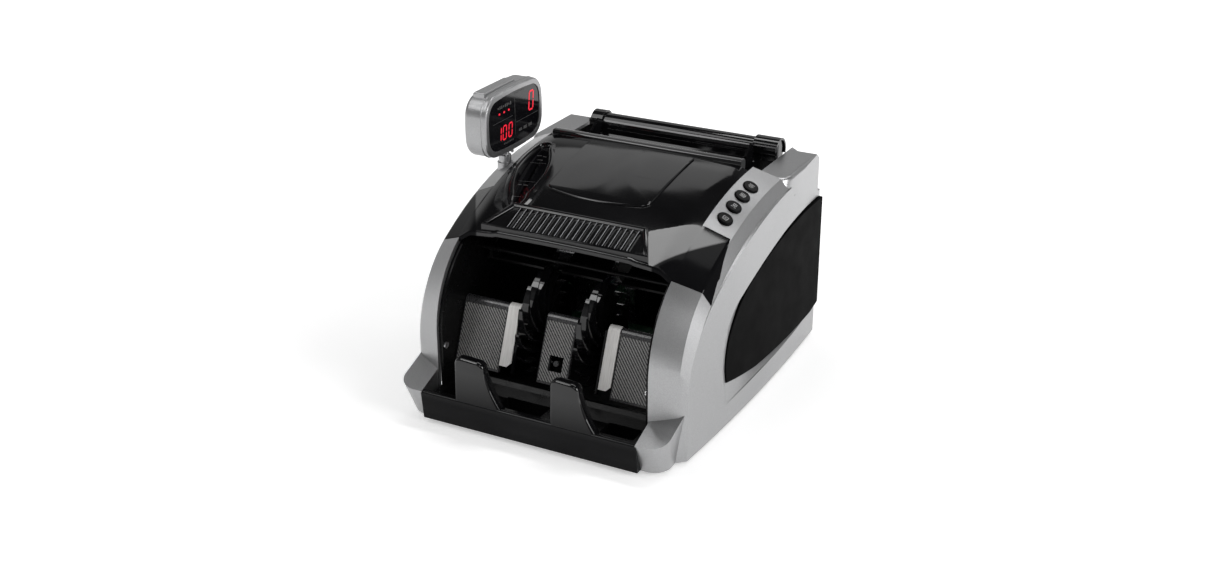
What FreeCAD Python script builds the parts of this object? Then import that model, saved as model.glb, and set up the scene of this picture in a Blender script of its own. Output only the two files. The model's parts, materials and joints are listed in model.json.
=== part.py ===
"""Banknote counting machine, modelled as the pieces it is assembled from.

Frame: millimetres, +X to the operator's right, +Y to the back, +Z up.
Origin: centre of the machine's bounding box, on the table top.
"""
import FreeCAD, Part
import math
import os

V = FreeCAD.Vector

# ---------------------------------------------------------------- driving dimensions
WIDTH = 240.0               # over the side shells
DEPTH = 294.0               # front lip to rear cover
HALF_W = WIDTH / 2
FRONT = -DEPTH / 2
REAR = DEPTH / 2
FOOT_H = 5.0                # height of the rubber feet
SKIRT_Z = 3.0               # lower edge of the side shells
WALL = 2.6                  # moulded wall thickness
GAP = 0.3                   # clearance between pieces that move past each other
BEARING_GAP = 0.05          # radial running clearance of shafts

LIP_X = 92.0                # half width of the front lip
LIP_TOP = 28.0              # height of the front lip
LIP_LEAN = 9.5              # set-back of the lip's lower edge
SHELL_IN = 91.0             # inner edge of each side shell
FRAME_IN = 88.0             # inner face of each side frame
FRAME_OUT = 90.5
CAP_OUT = 117.5             # the cover's corner caps end where the side face begins
SIDE_BULGE_R = 2000.0       # plan radius of the bulged side faces
SIDE_BULGE_Y = 5.0
PANEL_FACE = 118.6          # outermost plane of the side panels
PANEL_BULGE_R = 3300.0
PANEL_BULGE_Y = 90.0
PANEL_SEAT = 112.8          # plane that the side panels sit on
RECESS_FOOT = 115.0         # the recess round the panel rises from here to its rim
RECESS_RIM = 119.3
UPPER_REAR = 141.0          # rear face above the lower body
UPPER_REAR_Z = 133.0
SHOULDER_TOP = 167.5
SHOULDER_FRONT = 62.0
SHOULDER_CORNER_R = 12.0
SHOULDER_RIM_R = 4.0

# shell section: directions in which the side profile runs outwards
FACE_RUN = V(20.5, 9.0, -9.5)       # pillar face and keypad strip
CHAMFER_RUN = V(6.0, 6.0, -8.0)     # bright chamfer beside the side face

# shafts, as (y, z)
STACKER = (-69.0, 70.0)
TRANSPORT = (-8.0, 104.0)
FEED = (38.0, 108.0)
PICKUP = (80.1, 123.5)
SEPARATOR = (38.0, 137.4)
IDLER = (-8.0, 126.4)
MAIN_MOTOR = (92.0, 46.0)
STACKER_MOTOR = (-15.0, 33.0)
WHEEL_R = 44.0
VANES = 14
FEED_R = 20.0
PICKUP_R = 14.0
TRANSPORT_R = 16.0
SEPARATOR_R = 9.0
IDLER_R = 6.0
SHAFT_R = 3.0
IDLER_SHAFT_R = 2.0
BELT_T = 1.4
BELT_W = 5.0
PULLEY_W = BELT_W + 1.0     # hub between the two 1 mm flanges
BELT_PLANE = FRAME_OUT + 2.5        # start of the hubs beside each frame
OUTER_PLANE = BELT_PLANE + PULLEY_W + 2.5
SHAFT_END = 110.0
FEED_PULLEY_R = 15.0
DRIVE_PULLEY_R = 10.0       # second feed pulley, pickup and transport pulleys
MAIN_MOTOR_PULLEY_R = 8.0
STACKER_PULLEY_R = 14.0
STACKER_MOTOR_PULLEY_R = 7.0

# inclined back plates of the stacker bay, as (y, z)
PLATE_TOP = (-86.5, 83.0)
PLATE_FOOT = (-105.5, 36.0)
RAMP_FOOT = (-119.0, 24.0)
RIB_PITCH = 2.6
RIB_W = 1.3
RIB_LEAN = 39.0             # degrees off the slope

BUTTON_R = 6.3
BUTTON_X = 100.7
BUTTON_Y0 = -16.0
BUTTON_PITCH = 15.8
BUTTON_TRAVEL = 0.8

HOPPER_HINGE = (138.5, 139.0)
BAR = (127.0, 167.0)
BAR_R = 9.5
BAR_HALF = 86.5

NECK = (-103.5, 3.0)        # axis of the external display's neck, as (x, y)
TILT_Z = 177.0              # axis that the external display tilts on
HEAD_Z = 205.2              # centre of the external display
HEAD_LEN = 88.0
HEAD_H = 53.0
HEAD_T = 21.0
HEAD_FACE = -93.0           # plane of the external display's face
HEAD_CORNER = 17.0
LEDGE_TOP = 28.0            # top of the display's ledge above its centre
STEM_R = 5.2
EYE_R = 3.6                 # eye on the stem's end, in the display's clevis
EYE_HALF = 2.6
TRUNNION_R = 1.6
TRUNNION_END = 5.0
CLEVIS_R = 6.6
NECK_R = 6.2
NECK_SOCKET_R = 6.5

INLET_X = 72.0
SWITCH_X = 46.0
INLET_Z = 30.0
ROCKER_PIVOT_Y = 139.0
ROCKER_THROW = 16.0         # degrees from on to off
ROCKER_PIN_R = 1.2
ROCKER_PIN_END = 6.1
KNOB_X = 40.0
KNOB_Z = 105.0
KNOB_R = 8.0
FRAME_SCREWS = ((-117.5, 56.0), (118.0, 30.0), (118.0, 120.0))


# ---------------------------------------------------------------- helpers
def box(x0, x1, y0, y1, z0, z1):
    return Part.makeBox(x1 - x0, y1 - y0, z1 - z0, V(x0, y0, z0))


def cyl_x(r, x0, x1, y, z):
    return Part.makeCylinder(r, x1 - x0, V(x0, y, z), V(1, 0, 0))


def cyl_y(r, y0, y1, x, z):
    return Part.makeCylinder(r, y1 - y0, V(x, y0, z), V(0, 1, 0))


def cyl_z(r, z0, z1, x, y):
    return Part.makeCylinder(r, z1 - z0, V(x, y, z0), V(0, 0, 1))


def tube_x(r_out, r_in, x0, x1, y, z):
    return cyl_x(r_out, x0, x1, y, z).cut(cyl_x(r_in, x0 - 1, x1 + 1, y, z))


def arc(via, end):
    """An arc through `via` to `end` in an outline."""
    return ("arc", via, end)


def outline(items, place):
    """A closed face from points and arcs; place() turns a 2-D point into a vector."""
    edges = []
    start = items[0]
    here = start
    for item in list(items[1:]) + [start]:
        if item[0] == "arc":
            edges.append(Part.Arc(place(here), place(item[1]), place(item[2])).toShape())
            here = item[2]
        elif place(item).distanceToPoint(place(here)) > 1e-6:
            edges.append(Part.LineSegment(place(here), place(item)).toShape())
            here = item
    return Part.Face(Part.Wire(edges))


def prism_x(items, x0, x1):
    """An outline in (y, z) between two x planes."""
    return outline(items, lambda p: V(x0, p[0], p[1])).extrude(V(x1 - x0, 0, 0))


def prism_y(items, y0, y1):
    return outline(items, lambda p: V(p[0], y0, p[1])).extrude(V(0, y1 - y0, 0))


def prism_z(items, z0, z1):
    return outline(items, lambda p: V(p[0], p[1], z0)).extrude(V(0, 0, z1 - z0))


def rounded_x(x0, x1, y0, y1, z0, z1, r):
    """A box whose four edges along X are rounded."""
    solid = box(x0, x1, y0, y1, z0, z1)
    along = [e for e in solid.Edges if abs(e.tangentAt(0).x) > 0.99]
    return solid.makeFillet(r, along)


def rounded_z(x0, x1, y0, y1, z0, z1, r):
    solid = box(x0, x1, y0, y1, z0, z1)
    upright = [e for e in solid.Edges if abs(e.tangentAt(0).z) > 0.99]
    return solid.makeFillet(r, upright)


def mirror(shape):
    return shape.mirror(V(0, 0, 0), V(1, 0, 0))


def fuse(shapes):
    shapes = list(shapes)
    return shapes[0].multiFuse(shapes[1:]).removeSplitter()


def group(shapes):
    return Part.makeCompound(list(shapes))


def save(name, shape):
    shape.exportStep("parts/" + name + ".step")


def tilted(shape, at, angle, axis=V(1, 0, 0)):
    copy = shape.copy()
    copy.rotate(at, axis, angle)
    return copy


# ---------------------------------------------------------------- side shells
def shell_profile():
    """Side profile (y, z) of a shell at its inner edge, closed along the bottom."""
    return [(-124, SKIRT_Z), (-124, 64), arc((-113.5, 107), (-86, 135.5)),
            arc((-20, 164.5), (50, 176)), (58, 176.4), (63, SHOULDER_TOP),
            (REAR + 20, SHOULDER_TOP), (REAR + 20, SKIRT_Z)]


def shell_block(inset):
    """The full block under a right side shell's skin, reduced all round by inset."""
    face = outline(shell_profile(), lambda p: V(SHELL_IN, p[0] + inset, p[1] - inset))
    first = face.extrude(FACE_RUN)
    middle = face.copy()
    middle.translate(FACE_RUN)
    second = middle.extrude(CHAMFER_RUN)
    outer = middle.copy()
    outer.translate(CHAMFER_RUN)
    third = outer.extrude(V(6, 0, 0))
    block = fuse([first, second, third, shoulder(inset)])
    bulge = Part.makeCylinder(SIDE_BULGE_R, 300, V(HALF_W - inset - SIDE_BULGE_R, SIDE_BULGE_Y, -50))
    block = block.common(bulge)
    block = block.common(box(0, HALF_W, FRONT, REAR - inset, SKIRT_Z, 200))
    upper = box(0, 200, UPPER_REAR - inset, 200, UPPER_REAR_Z - inset, 200)
    return block.cut(upper)


def shoulder(inset):
    """The raised block beside the hopper, rounded off at its front and outer edges."""
    top = SHOULDER_TOP - inset
    across = prism_y([(SHELL_IN, 118), (SHELL_IN, top), (117.8 - inset, top), (119.5 - inset, 118)], 40, 150)
    along = prism_x([(SHOULDER_FRONT - 6 + inset, 118), (SHOULDER_FRONT - 4 + inset, 155),
                     (SHOULDER_FRONT + 4 + inset, SHOULDER_TOP), (134, SHOULDER_TOP),
                     (UPPER_REAR, SHOULDER_TOP - 5), (UPPER_REAR, 118)], 80, 130)
    block = across.common(along)
    corner = [e for e in block.Edges
              if e.BoundBox.XMin > 112 and e.BoundBox.YMax < SHOULDER_FRONT + 8 and e.BoundBox.ZMax > 150]
    block = block.makeFillet(SHOULDER_CORNER_R - inset, corner)
    rim = [e for e in block.Edges
           if e.BoundBox.ZMin > top - 0.1 and e.BoundBox.YMax < 135 and e.BoundBox.XMax > SHELL_IN + 1
           and e.BoundBox.YMin < 100]
    return block.makeFillet(SHOULDER_RIM_R, rim)


def toe_face(z, front, side):
    nose = 14.0
    half = nose * (1 - math.sqrt(0.5))
    return outline([(LIP_X, front), (side - nose, front),
                    arc((side - half, front + half), (side, front + nose)),
                    (side - 1.5, -104), (LIP_X, -104)], lambda p: V(p[0], p[1], z))


def toe(inset):
    """The rounded foot in front of the pillar, leaning out towards its rim."""
    low, high = SKIRT_Z, 45.0
    lean = LIP_LEAN / (LIP_TOP - low)
    front_low = FRONT + LIP_LEAN + inset
    front_high = FRONT - lean * (high - LIP_TOP) + inset
    wires = [toe_face(low, front_low, 110.5 - inset).OuterWire,
             toe_face(high, front_high, 116.5 - inset).OuterWire]
    solid = Part.makeLoft(wires, True, True)
    top = prism_x([(-190, LIP_TOP - 16.3 - inset), (-100, LIP_TOP + 17.9 - inset), (-100, 90), (-190, 90)],
                  60, 140)
    return solid.cut(top)


def panel_outline(grow):
    """Outline (y, z) of the black side panel, open to the rear edge; grow widens it."""
    g = grow
    return [(-39 - g, 35.6 - g), arc((-41.3 - g, 56.5), (-35.7 - g, 74.3 + 0.6 * g)),
            arc((-19.6 - 0.6 * g, 92.9 + g), (4.4 - 0.3 * g, 107.1 + g)),
            arc((50, 120 + g), (146.5, 127 + g)), (146.5, 31 - g), (129.6, 27.4 - g),
            arc((72, 25.6 - g), (14.8, 26.9 - g)), arc((-12, 30.5 - g), (-39 - g, 35.6 - g))]


def recess_outline(grow):
    """Outline (y, z) of the recess's rim, with a wide crescent in front of the panel."""
    g = grow
    return [(-50.8 - g, 21.3 - g), arc((-56.3 - g, 50), (-54.9 - g, 71.4 + 0.3 * g)),
            arc((-44 - 0.8 * g, 90.1 + 0.7 * g), (-24 - 0.3 * g, 102.8 + g)),
            arc((44, 122.8 + g), (152, 131.4 + g)), (152, 23.5 - g), (129.6, 22.9 - g), (14.8, 22.1 - g),
            (-50.8 - g, 21.3 - g)]


def panel_recess():
    """Pocket in a shell's side face that takes the side panel, with its sloping surround."""
    seat = outline(panel_outline(0.2), lambda p: V(PANEL_SEAT, p[0], p[1]))
    pocket = seat.extrude(V(RECESS_RIM - PANEL_SEAT, 0, 0))
    inner = outline(panel_outline(0.2), lambda p: V(RECESS_FOOT, p[0], p[1])).OuterWire
    rim = outline(recess_outline(0.0), lambda p: V(RECESS_RIM, p[0], p[1]))
    slope = Part.makeLoft([inner, rim.OuterWire], True, True)
    return [pocket, slope, rim.extrude(V(4, 0, 0))]


def button_hole(index, radius, depth, rise):
    """A cylinder on the axis of one key, from depth below the strip to rise above it."""
    at = button_point(index)
    n = strip_normal()
    return Part.makeCylinder(radius, depth + rise, at - n * depth, n)


def strip_normal():
    slope = math.atan2(5.6, 46.0)
    run = V(0, math.cos(slope), math.sin(slope))
    n = FACE_RUN.cross(run)
    return n.normalize()


def button_point(index):
    """Point where a key's axis meets the keypad strip."""
    y = BUTTON_Y0 + BUTTON_PITCH * index
    f = (BUTTON_X - SHELL_IN) / FACE_RUN.x
    y0 = y - FACE_RUN.y * f
    z = profile_height(y0) + FACE_RUN.z * f
    return V(BUTTON_X, y, z)


def profile_height(y):
    """Height of the shell profile's upper arc, the circle through its three points."""
    a, b, c = V(-86, 135.5, 0), V(-20, 164.5, 0), V(50, 176, 0)
    circle = Part.Arc(a, b, c).toShape().Curve
    dy = y - circle.Center.x
    return circle.Center.y + math.sqrt(circle.Radius ** 2 - dy ** 2)


def cap_cutter():
    """The wedge of the shell's skin that belongs to the black cover's corner."""
    lower = [V(80, -87.9, 141), V(91, -86, 137), V(112, -77, 129), V(CAP_OUT, -75, 126.2)]
    upper = [V(80, -38.5, 163.3), V(91, -35, 157), V(111, -28.2, 144), V(CAP_OUT, -72, 127.6)]
    depths = (25.0, 25.0, 8.0, 0.6)
    solids = []
    for k in range(len(lower) - 1):
        quads = []
        for j in (k, k + 1):
            deep = V(0, depths[j], -depths[j])
            high = V(0, -30, 30)
            quads.append([lower[j] + deep, lower[j] + high, upper[j] + high, upper[j] + deep])
        wires = [Part.makePolygon(q + [q[0]]) for q in quads]
        solids.append(Part.makeLoft(wires, True, True))
    return fuse(solids)


def side_shell(keys):
    """A right-hand side shell; with keys it has the key holes, else the neck's hole for the left one."""
    skin = shell_block(0.0)
    skin = fuse([skin, toe(0.0)])
    hollow = shell_block(WALL).common(box(0, HALF_W, FRONT, REAR, 0, 200))
    hollow = fuse([hollow, shell_block(WALL).translated(V(-WALL, 0, -WALL - 2))])
    hollow = hollow.common(box(SHELL_IN - 1, HALF_W, -121, REAR, -5, 200))
    toe_hollow = toe(WALL).common(box(LIP_X + 2, 130, FRONT, -118, -5, 200))
    shell = skin.cut(hollow)
    shell = shell.cut(toe_hollow.translated(V(0, 0, -WALL)))
    boss = outline(recess_outline(2.6), lambda p: V(PANEL_SEAT - 2.3, p[0], p[1])).extrude(V(11, 0, 0))
    shell = fuse([shell, boss.common(shell_block(0.3))])
    for pocket in panel_recess():
        shell = shell.cut(pocket)
    shell = shell.cut(cap_cutter())
    if keys:
        for k in range(4):
            shell = shell.cut(button_hole(k, BUTTON_R + GAP, 12, 6))
    else:
        shell = shell.cut(cyl_z(NECK_SOCKET_R, 120, 200, -NECK[0], NECK[1]))
    return biggest(shell)


def biggest(shape):
    """The main solid of a cut, without stray slivers."""
    return max(shape.Solids, key=lambda s: s.Volume)


def side_panel():
    """Black panel set in a side shell's recess."""
    plate = outline(panel_outline(0.0), lambda p: V(PANEL_SEAT + 0.05, p[0], p[1])).extrude(V(8, 0, 0))
    bulge = Part.makeCylinder(PANEL_BULGE_R, 300, V(PANEL_FACE - PANEL_BULGE_R, PANEL_BULGE_Y, -50))
    return plate.common(bulge)


# ---------------------------------------------------------------- frame
def base_pan():
    """Folded steel tray that everything stands on."""
    plan = [(-89, -134), (89, -134), (89, -100), (108, -100), (108, 140), (-108, 140), (-108, -100),
            (-89, -100)]
    floor = prism_z(plan, FOOT_H, FOOT_H + 1.6)
    rear_flange = box(-86, 86, 138.4, 140, FOOT_H, 20)
    sides = [box(s * 108 - 0.8, s * 108 + 0.8, -60, 140, FOOT_H, 16) for s in (-1, 1)]
    return fuse([floor, rear_flange] + sides)


def feet():
    """Four rubber feet with domed lower edges."""
    solids = []
    for x, y in ((-80, -118), (80, -118), (-95, 122), (95, 122)):
        foot = cyl_z(9, 0, FOOT_H, x, y)
        solids.append(foot.makeChamfer(1.2, [e for e in foot.Edges if e.BoundBox.ZMax < 0.1]))
    return group(solids)


def side_frame():
    """Side plate on the right; it carries the shafts and lines the stacker bay."""
    edge = [(-121, FOOT_H + 1.6), (-121, 62), arc((-110.8, 104), (-84.5, 131.5)), (-58, 144), (-20, 158),
            (20, 166), (52, 168), (60, 164), (66, 156), (122, 156), (128, 150), (128, FOOT_H + 1.6)]
    plate = prism_x(edge, FRAME_IN, FRAME_OUT)
    for y, z in (STACKER, TRANSPORT, FEED, PICKUP):
        plate = plate.cut(cyl_x(7.0, 80, 100, y, z))
    plate = plate.cut(cyl_x(IDLER_SHAFT_R + BEARING_GAP, 80, 100, *IDLER))
    plate = plate.cut(cyl_x(SHAFT_R, 80, 100, *SEPARATOR))
    for y, z in FRAME_SCREWS:
        plate = plate.cut(cyl_x(1.4, 80, 100, y, z))
    return plate


def bearings():
    """Eight ball bearings in the side frames."""
    solids = []
    for y, z in (STACKER, TRANSPORT, FEED, PICKUP):
        ring = tube_x(7.0, SHAFT_R + BEARING_GAP, FRAME_IN - 1, FRAME_OUT + 1, y, z)
        flange = tube_x(8.2, SHAFT_R + BEARING_GAP, FRAME_OUT, FRAME_OUT + 1, y, z)
        right = fuse([ring, flange])
        solids += [right, mirror(right)]
    return group(solids)


def frame_screws():
    """Pan-head screws through the front of the bay walls and the rear of the frames."""
    solids = []
    for y, z in FRAME_SCREWS:
        inner = FRAME_IN - 1.6
        head = cyl_x(2.6, inner, FRAME_IN, y, z)
        shank = cyl_x(1.4, FRAME_IN, FRAME_OUT + 0.4, y, z)
        right = fuse([head.cut(box(inner, inner + 0.8, y - 0.4, y + 0.4, z - 2, z + 2)), shank])
        solids += [right, mirror(right)]
    return group(solids)


# ---------------------------------------------------------------- front lip and bay
def post(left, right, flare, top):
    """A stop post: straight left edge, right edge flaring into the lip."""
    r = 5.0
    shape = [(left, LIP_TOP - 6), (left, top - r), arc((left + 1.4, top - 1.4), (left + r, top)),
             (right - 4, top), arc((right - 0.6, top - 1.6), (right + 1, top - 6)),
             arc((right + 4, LIP_TOP + 16), (right + flare, LIP_TOP - 1)), (right + flare, LIP_TOP - 6)]
    return prism_y(shape, FRONT + 0.6, FRONT + 10.2)


def front_lip():
    """Gloss front plate with its two stop posts and the stacker floor ledge behind it."""
    x = LIP_X - 0.2
    section = [(FRONT + LIP_LEAN, SKIRT_Z), (FRONT, LIP_TOP), (FRONT + 4, LIP_TOP),
               (FRONT + 6, LIP_TOP - 3), (FRONT + 13, SKIRT_Z)]
    plate = prism_x(section, -x, x)
    posts = [post(-62.5, -36, 14, 64.0), post(20.4, 45, 14, 65.0)]
    ridge = box(-24, 22, FRONT + 6.5, FRONT + 9, 20, LIP_TOP - 1.5)
    return fuse([plate] + posts + [ridge])


def bay_floor():
    """Stacker floor: a ledge with three wells behind the lip, rising to the plates."""
    x = FRAME_IN - 0.2
    top = 24.0
    section = [(FRONT + 10.2, 12), (FRONT + 10.2, top), (RAMP_FOOT[0], top), (RAMP_FOOT[0] + 9, top + 4.5),
               (PLATE_FOOT[0] - 1.4, PLATE_FOOT[1] - 4.6), (PLATE_FOOT[0] + 2, PLATE_FOOT[1] - 5),
               (PLATE_FOOT[0] + 2, 12)]
    floor = prism_x(section, -x, x)
    for x0, x1 in ((-82, -64), (-32, 6), (56, 84)):
        well = rounded_z(x0, x1, FRONT + 13, RAMP_FOOT[0] + 1, 14, top + 4, 1.5)
        floor = floor.cut(well)
    return floor


def plate_frame():
    """Unit vectors down the back plates' slope and out of it."""
    down = V(0, PLATE_FOOT[0] - PLATE_TOP[0], PLATE_FOOT[1] - PLATE_TOP[1])
    down.normalize()
    out = V(0, down.z, -down.y)
    return down, out


def back_plate(x0, x1):
    """Inclined back plate with a rolled top edge and fine slanting ribs."""
    down, out = plate_frame()
    thick = 3.0
    top = V(0, *PLATE_TOP)
    length = V(0, *PLATE_FOOT).distanceToPoint(top)
    corners = [top, top + down * length, top + down * length - out * thick, top - out * thick]
    plate = prism_x([(c.y, c.z) for c in corners], x0, x1)
    roll_at = top - out * (thick + 1.2)
    roll = cyl_x(thick + 1.2, x0, x1, roll_at.y, roll_at.z)
    band = [top + down * 2, top + down * (length - 2)]
    slab = prism_x([(c.y, c.z) for c in (band[0] - out, band[1] - out, band[1] + out, band[0] + out)],
                   x0 + 1, x1 - 1)
    lean = math.tan(math.radians(RIB_LEAN)) * length
    ribs = []
    for k in range(int((x1 - x0 + lean) / RIB_PITCH)):
        left = V(x0 - lean + k * RIB_PITCH, 0, 0) + top
        right = left + V(lean, 0, 0) + down * length
        quad = [left, left + V(RIB_W, 0, 0), right + V(RIB_W, 0, 0), right]
        rib = Part.Face(Part.makePolygon(quad + [quad[0]])).extrude(out * 0.55)
        rib.translate(out * -0.1)
        ribs.append(rib)
    return fuse([plate, roll] + group(ribs).common(slab).Solids)


def centre_plate():
    """The plate between the wheels has a square well with a sensor in it."""
    plate = back_plate(-14, 12)
    down, out = plate_frame()
    at = V(0, *PLATE_TOP) + down * 34
    well = box(-6, 6, at.y - 6, at.y + 6, at.z - 6, at.z + 6)
    return biggest(plate.cut(tilted(well, at, -22)))


def wear_strip(x0, x1):
    """Pale low-friction strip beside each wheel slot, rounded at its foot."""
    down, out = plate_frame()
    top = V(0, *PLATE_TOP) - down * 1
    foot = top + down * 46
    r = 3.5
    bend = V(0, *PLATE_TOP) - out * 4.2
    quad = [V(x0, 0, 0) + top, V(x1, 0, 0) + top, V(x1, 0, 0) + foot - down * r,
            V(x1 - r, 0, 0) + foot, V(x0, 0, 0) + foot]
    strip = Part.Face(Part.makePolygon(quad + [quad[0]])).extrude(out * 1.0)
    core = box(x0, x1, bend.y - 8, bend.y + 8, bend.z - 8, bend.z + 8)
    hook = tube_x(5.2, 4.25, x0, x1, bend.y, bend.z).common(core)
    keep = prism_x([(bend.y - 12, bend.z - 1), (bend.y - 12, bend.z + 12), (bend.y + 3, bend.z + 12),
                    (bend.y, bend.z)], x0, x1)
    strip.translate(out * 0.02)
    return fuse([strip, hook.common(keep)])


def strip_rail(x):
    """Thin steel rail beside a wear strip."""
    down, out = plate_frame()
    top = V(x, *PLATE_TOP)
    foot = top + down * 49
    quad = [top + out * 0.2, foot + out * 0.2, foot - out * 2.4, top - out * 2.4]
    return Part.Face(Part.makePolygon(quad + [quad[0]])).extrude(V(1.6, 0, 0))


def plate_sensor():
    """Counting sensor lens in the centre plate's well."""
    down, out = plate_frame()
    at = V(-1, *PLATE_TOP) + down * 34 - out * 5.4
    return Part.makeCylinder(2.2, 3.4, at, out)


# ---------------------------------------------------------------- covers
def cover_section(y, z_mid, z_edge, drop):
    """Closed section of the cover across the machine at one y: nearly flat, rounding off to the edges."""
    x, flat, bow = SHELL_IN, 76.0, 1.4
    z_flat = z_mid - bow
    bend = (flat + 9.0, z_flat - 0.36 * (z_flat - z_edge))
    return outline([(-x, z_edge - drop), (-x, z_edge), arc((-bend[0], bend[1]), (-flat, z_flat)),
                    arc((0, z_mid), (flat, z_flat)), arc(bend, (x, z_edge)), (x, z_edge - drop)],
                   lambda p: V(p[0], y, p[1])).OuterWire


def cover_stations():
    """Height of the cover at its middle and edges, front to back, as (y, mid, edge)."""
    return [(-87, 146.2, 138.5), (-60, 156.8, 150.2), (-30, 166.3, 161.2), (0, 173.2, 169.6),
            (30, 178.6, 174.5), (52, 181.0, 176.0)]


def cover_surface(lift):
    wires = [cover_section(y, mid + lift, edge + lift, 40) for y, mid, edge in cover_stations()]
    return Part.makeLoft(wires, True, True)


def cap_block():
    """Black corner of the cover that wraps over the right-hand shell."""
    face = outline(shell_profile(), lambda p: V(SHELL_IN, p[0], p[1]))
    inward = face.extrude(FACE_RUN * -0.3)
    outer = fuse([shell_block(0.0), inward])
    below = [inward.translated(V(x, WALL, -WALL)) for x in (-1, 1)]
    inner = fuse([shell_block(WALL)] + below)
    return outer.common(cap_cutter()).cut(inner).common(box(SHELL_IN - 6, 130, -100, 0, 110, 175))


def brow_facet(lift):
    """Space over the flat facet that falls from the grille's end to the cover's front corner."""
    def at(x, y):
        return V(x, y, 157.6 - 0.2249 * (x - 61) + 0.3456 * (y + 58) + lift)
    corners = [at(46, -69.5), at(104, -25), at(104, -95), at(46, -95)]
    right = Part.Face(Part.makePolygon(corners + [corners[0]])).extrude(V(0, 0, 30))
    return fuse([right, mirror(right)])


def top_cover():
    """Gloss black cover: crowned top, brow, rear wall, ridge and two corner caps."""
    hollow = cover_surface(-WALL).cut(brow_facet(-WALL)).common(box(-200, 200, -84.5, 49.5, 0, 200))
    skin = cover_surface(0.0).cut(brow_facet(0.0)).cut(hollow)
    skin = skin.common(box(-SHELL_IN, SHELL_IN, -90, 60, 141, 190))
    for side in (-1, 1):
        at = side * SHELL_IN
        skin = skin.cut(box(at - 3.4, at + 3.4, 49, 60, 120, 168.5))
    rear = prism_x([(49.4, 176), (49.4, 150), (52, 150), (57, 178), (56, 182.6), (52, 183), (49, 182),
                    (47.5, 178)], -85, 85)
    cap = biggest(cap_block())
    joint = fuse([skin, rear, cap, mirror(cap)])
    for pod in (pod_hollow(), grille_hollow()):
        joint = joint.cut(pod)
    return biggest(joint)


def grille_outline(grow):
    """Plan outline (x, y) of the grille: a trapezoid with rounded upper corners."""
    g = grow
    return [(-72 - g, -85.4), (-61 - g, -62), arc((-59 - g, -58.6 + g), (-55, -57.8 + g)), (53, -57.8 + g),
            arc((57.4 + g, -58.8 + g), (59.5 + g, -62.5)), (71 + g, -85.4)]


def grille_hollow():
    return prism_z(grille_outline(0.0), 120, 175)


def on_grille(lift):
    """A point on the grille's inclined plane at mid width, raised by lift."""
    return [(-88, 145.6 + lift), (-56, 158.4 + lift)]


def grille():
    """Raised visor with a row of thin upright slats over a dark slot."""
    low, high = on_grille(-4.0), on_grille(2.4)
    slab = prism_x([low[0], high[0], high[1], low[1]], -90, 90)
    frame = prism_z(grille_outline(-0.25), 120, 175).common(slab)
    window = prism_z([(-52, -84), (-52, -62.5), (54, -62.5), (54, -84)], 120, 175)
    solids = [frame.cut(window)]
    count = 22
    inner_low, inner_high = on_grille(-3.2), on_grille(1.6)
    sheet = prism_x([inner_low[0], inner_high[0], inner_high[1], inner_low[1]], -90, 90)
    for k in range(count):
        x = -50.6 + k * 4.92
        slat = prism_z([(x, -84.6), (x + 1.3, -84.6), (x + 1.3, -62.0), (x, -62.0)], 120, 175)
        solids.append(slat.common(sheet))
    back_low, back_high = on_grille(-4.0), on_grille(-2.6)
    backing = prism_x([back_low[0], back_high[0], back_high[1], back_low[1]], -60, 60)
    solids.append(backing.common(prism_z([(-53, -85), (-53, -61.5), (55, -61.5), (55, -85)], 120, 175)))
    return biggest(fuse(solids).cut(prism_z(pod_outline(0.25), 120, 200)))


def lid_outline(grow):
    """Plan outline (x, y) of the raised lid panel with its bowed front edge."""
    g = grow
    return [(-47 - g, 43.5 + g), (-45 - g, -26), arc((-43 - g, -32 - g), (-37, -35 - g)),
            arc((0, -39.5 - g), (37, -35 - g)), arc((43 + g, -32 - g), (45 + g, -26)), (47 + g, 43.5 + g)]


def lid_panel():
    """Raised lid panel on the cover."""
    blank = prism_z(lid_outline(0.0), 140, 200)
    return blank.common(cover_surface(1.8)).cut(cover_surface(0.02))


def pod_outline(grow):
    """Plan outline (x, y) of the oval display window, narrow in front."""
    g = grow
    return [(-57 - g * 0.6, -66 - g), arc((-51.5 + g, -60 - g), (-51 + g, -42)),
            arc((-56 + g, -4), (-70 + g, 24 + 0.4 * g)), arc((-78, 33 + g), (-87 - g * 0.6, 29 + g)),
            arc((-86 - g, -12), (-72 - g, -50)), arc((-66 - g, -61 - g * 0.6), (-57 - g * 0.6, -66 - g))]


def pod_hollow():
    return prism_z(pod_outline(0.0), 130, 200)


def display_bezel():
    """Raised smooth ring round the built-in display window."""
    ring = prism_z(pod_outline(-0.2), 140, 200).cut(prism_z(pod_outline(-3.2), 130, 210))
    return ring.common(cover_surface(1.6)).cut(cover_surface(-4.0))


def display_window():
    """Smoked window of the built-in display, sunk in its bezel."""
    pane = prism_z(pod_outline(-3.7), 140, 200)
    return pane.common(cover_surface(-1.0)).cut(cover_surface(-3.0)).cut(display_bezel())


def display_board():
    """Display board under the window, with two digit blocks."""
    board = prism_z([(-78, -40), (-60, -40), (-64, 18), (-80, 18)], 158, 159.6)
    blocks = [box(-76, -66, 0, 10, 159.6, 164.5), box(-74, -64, -24, -14, 159.6, 161.5)]
    return fuse([board] + blocks).translated(V(0, 0, -10))


# ---------------------------------------------------------------- keys
def button(index):
    """A round key with a crowned top and a skirt below the strip."""
    at = button_point(index)
    n = strip_normal()
    cap = Part.makeCylinder(BUTTON_R, 7.0, at - n * 5.6, n)
    rim = [e for e in cap.Edges if e.Closed and e.CenterOfMass.distanceToPoint(at + n * 1.4) < 0.5]
    cap = cap.makeFillet(0.8, rim)
    skirt = Part.makeCylinder(BUTTON_R + 1.2, 0.9, at - n * 5.6, n)
    return fuse([cap, skirt])


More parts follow.
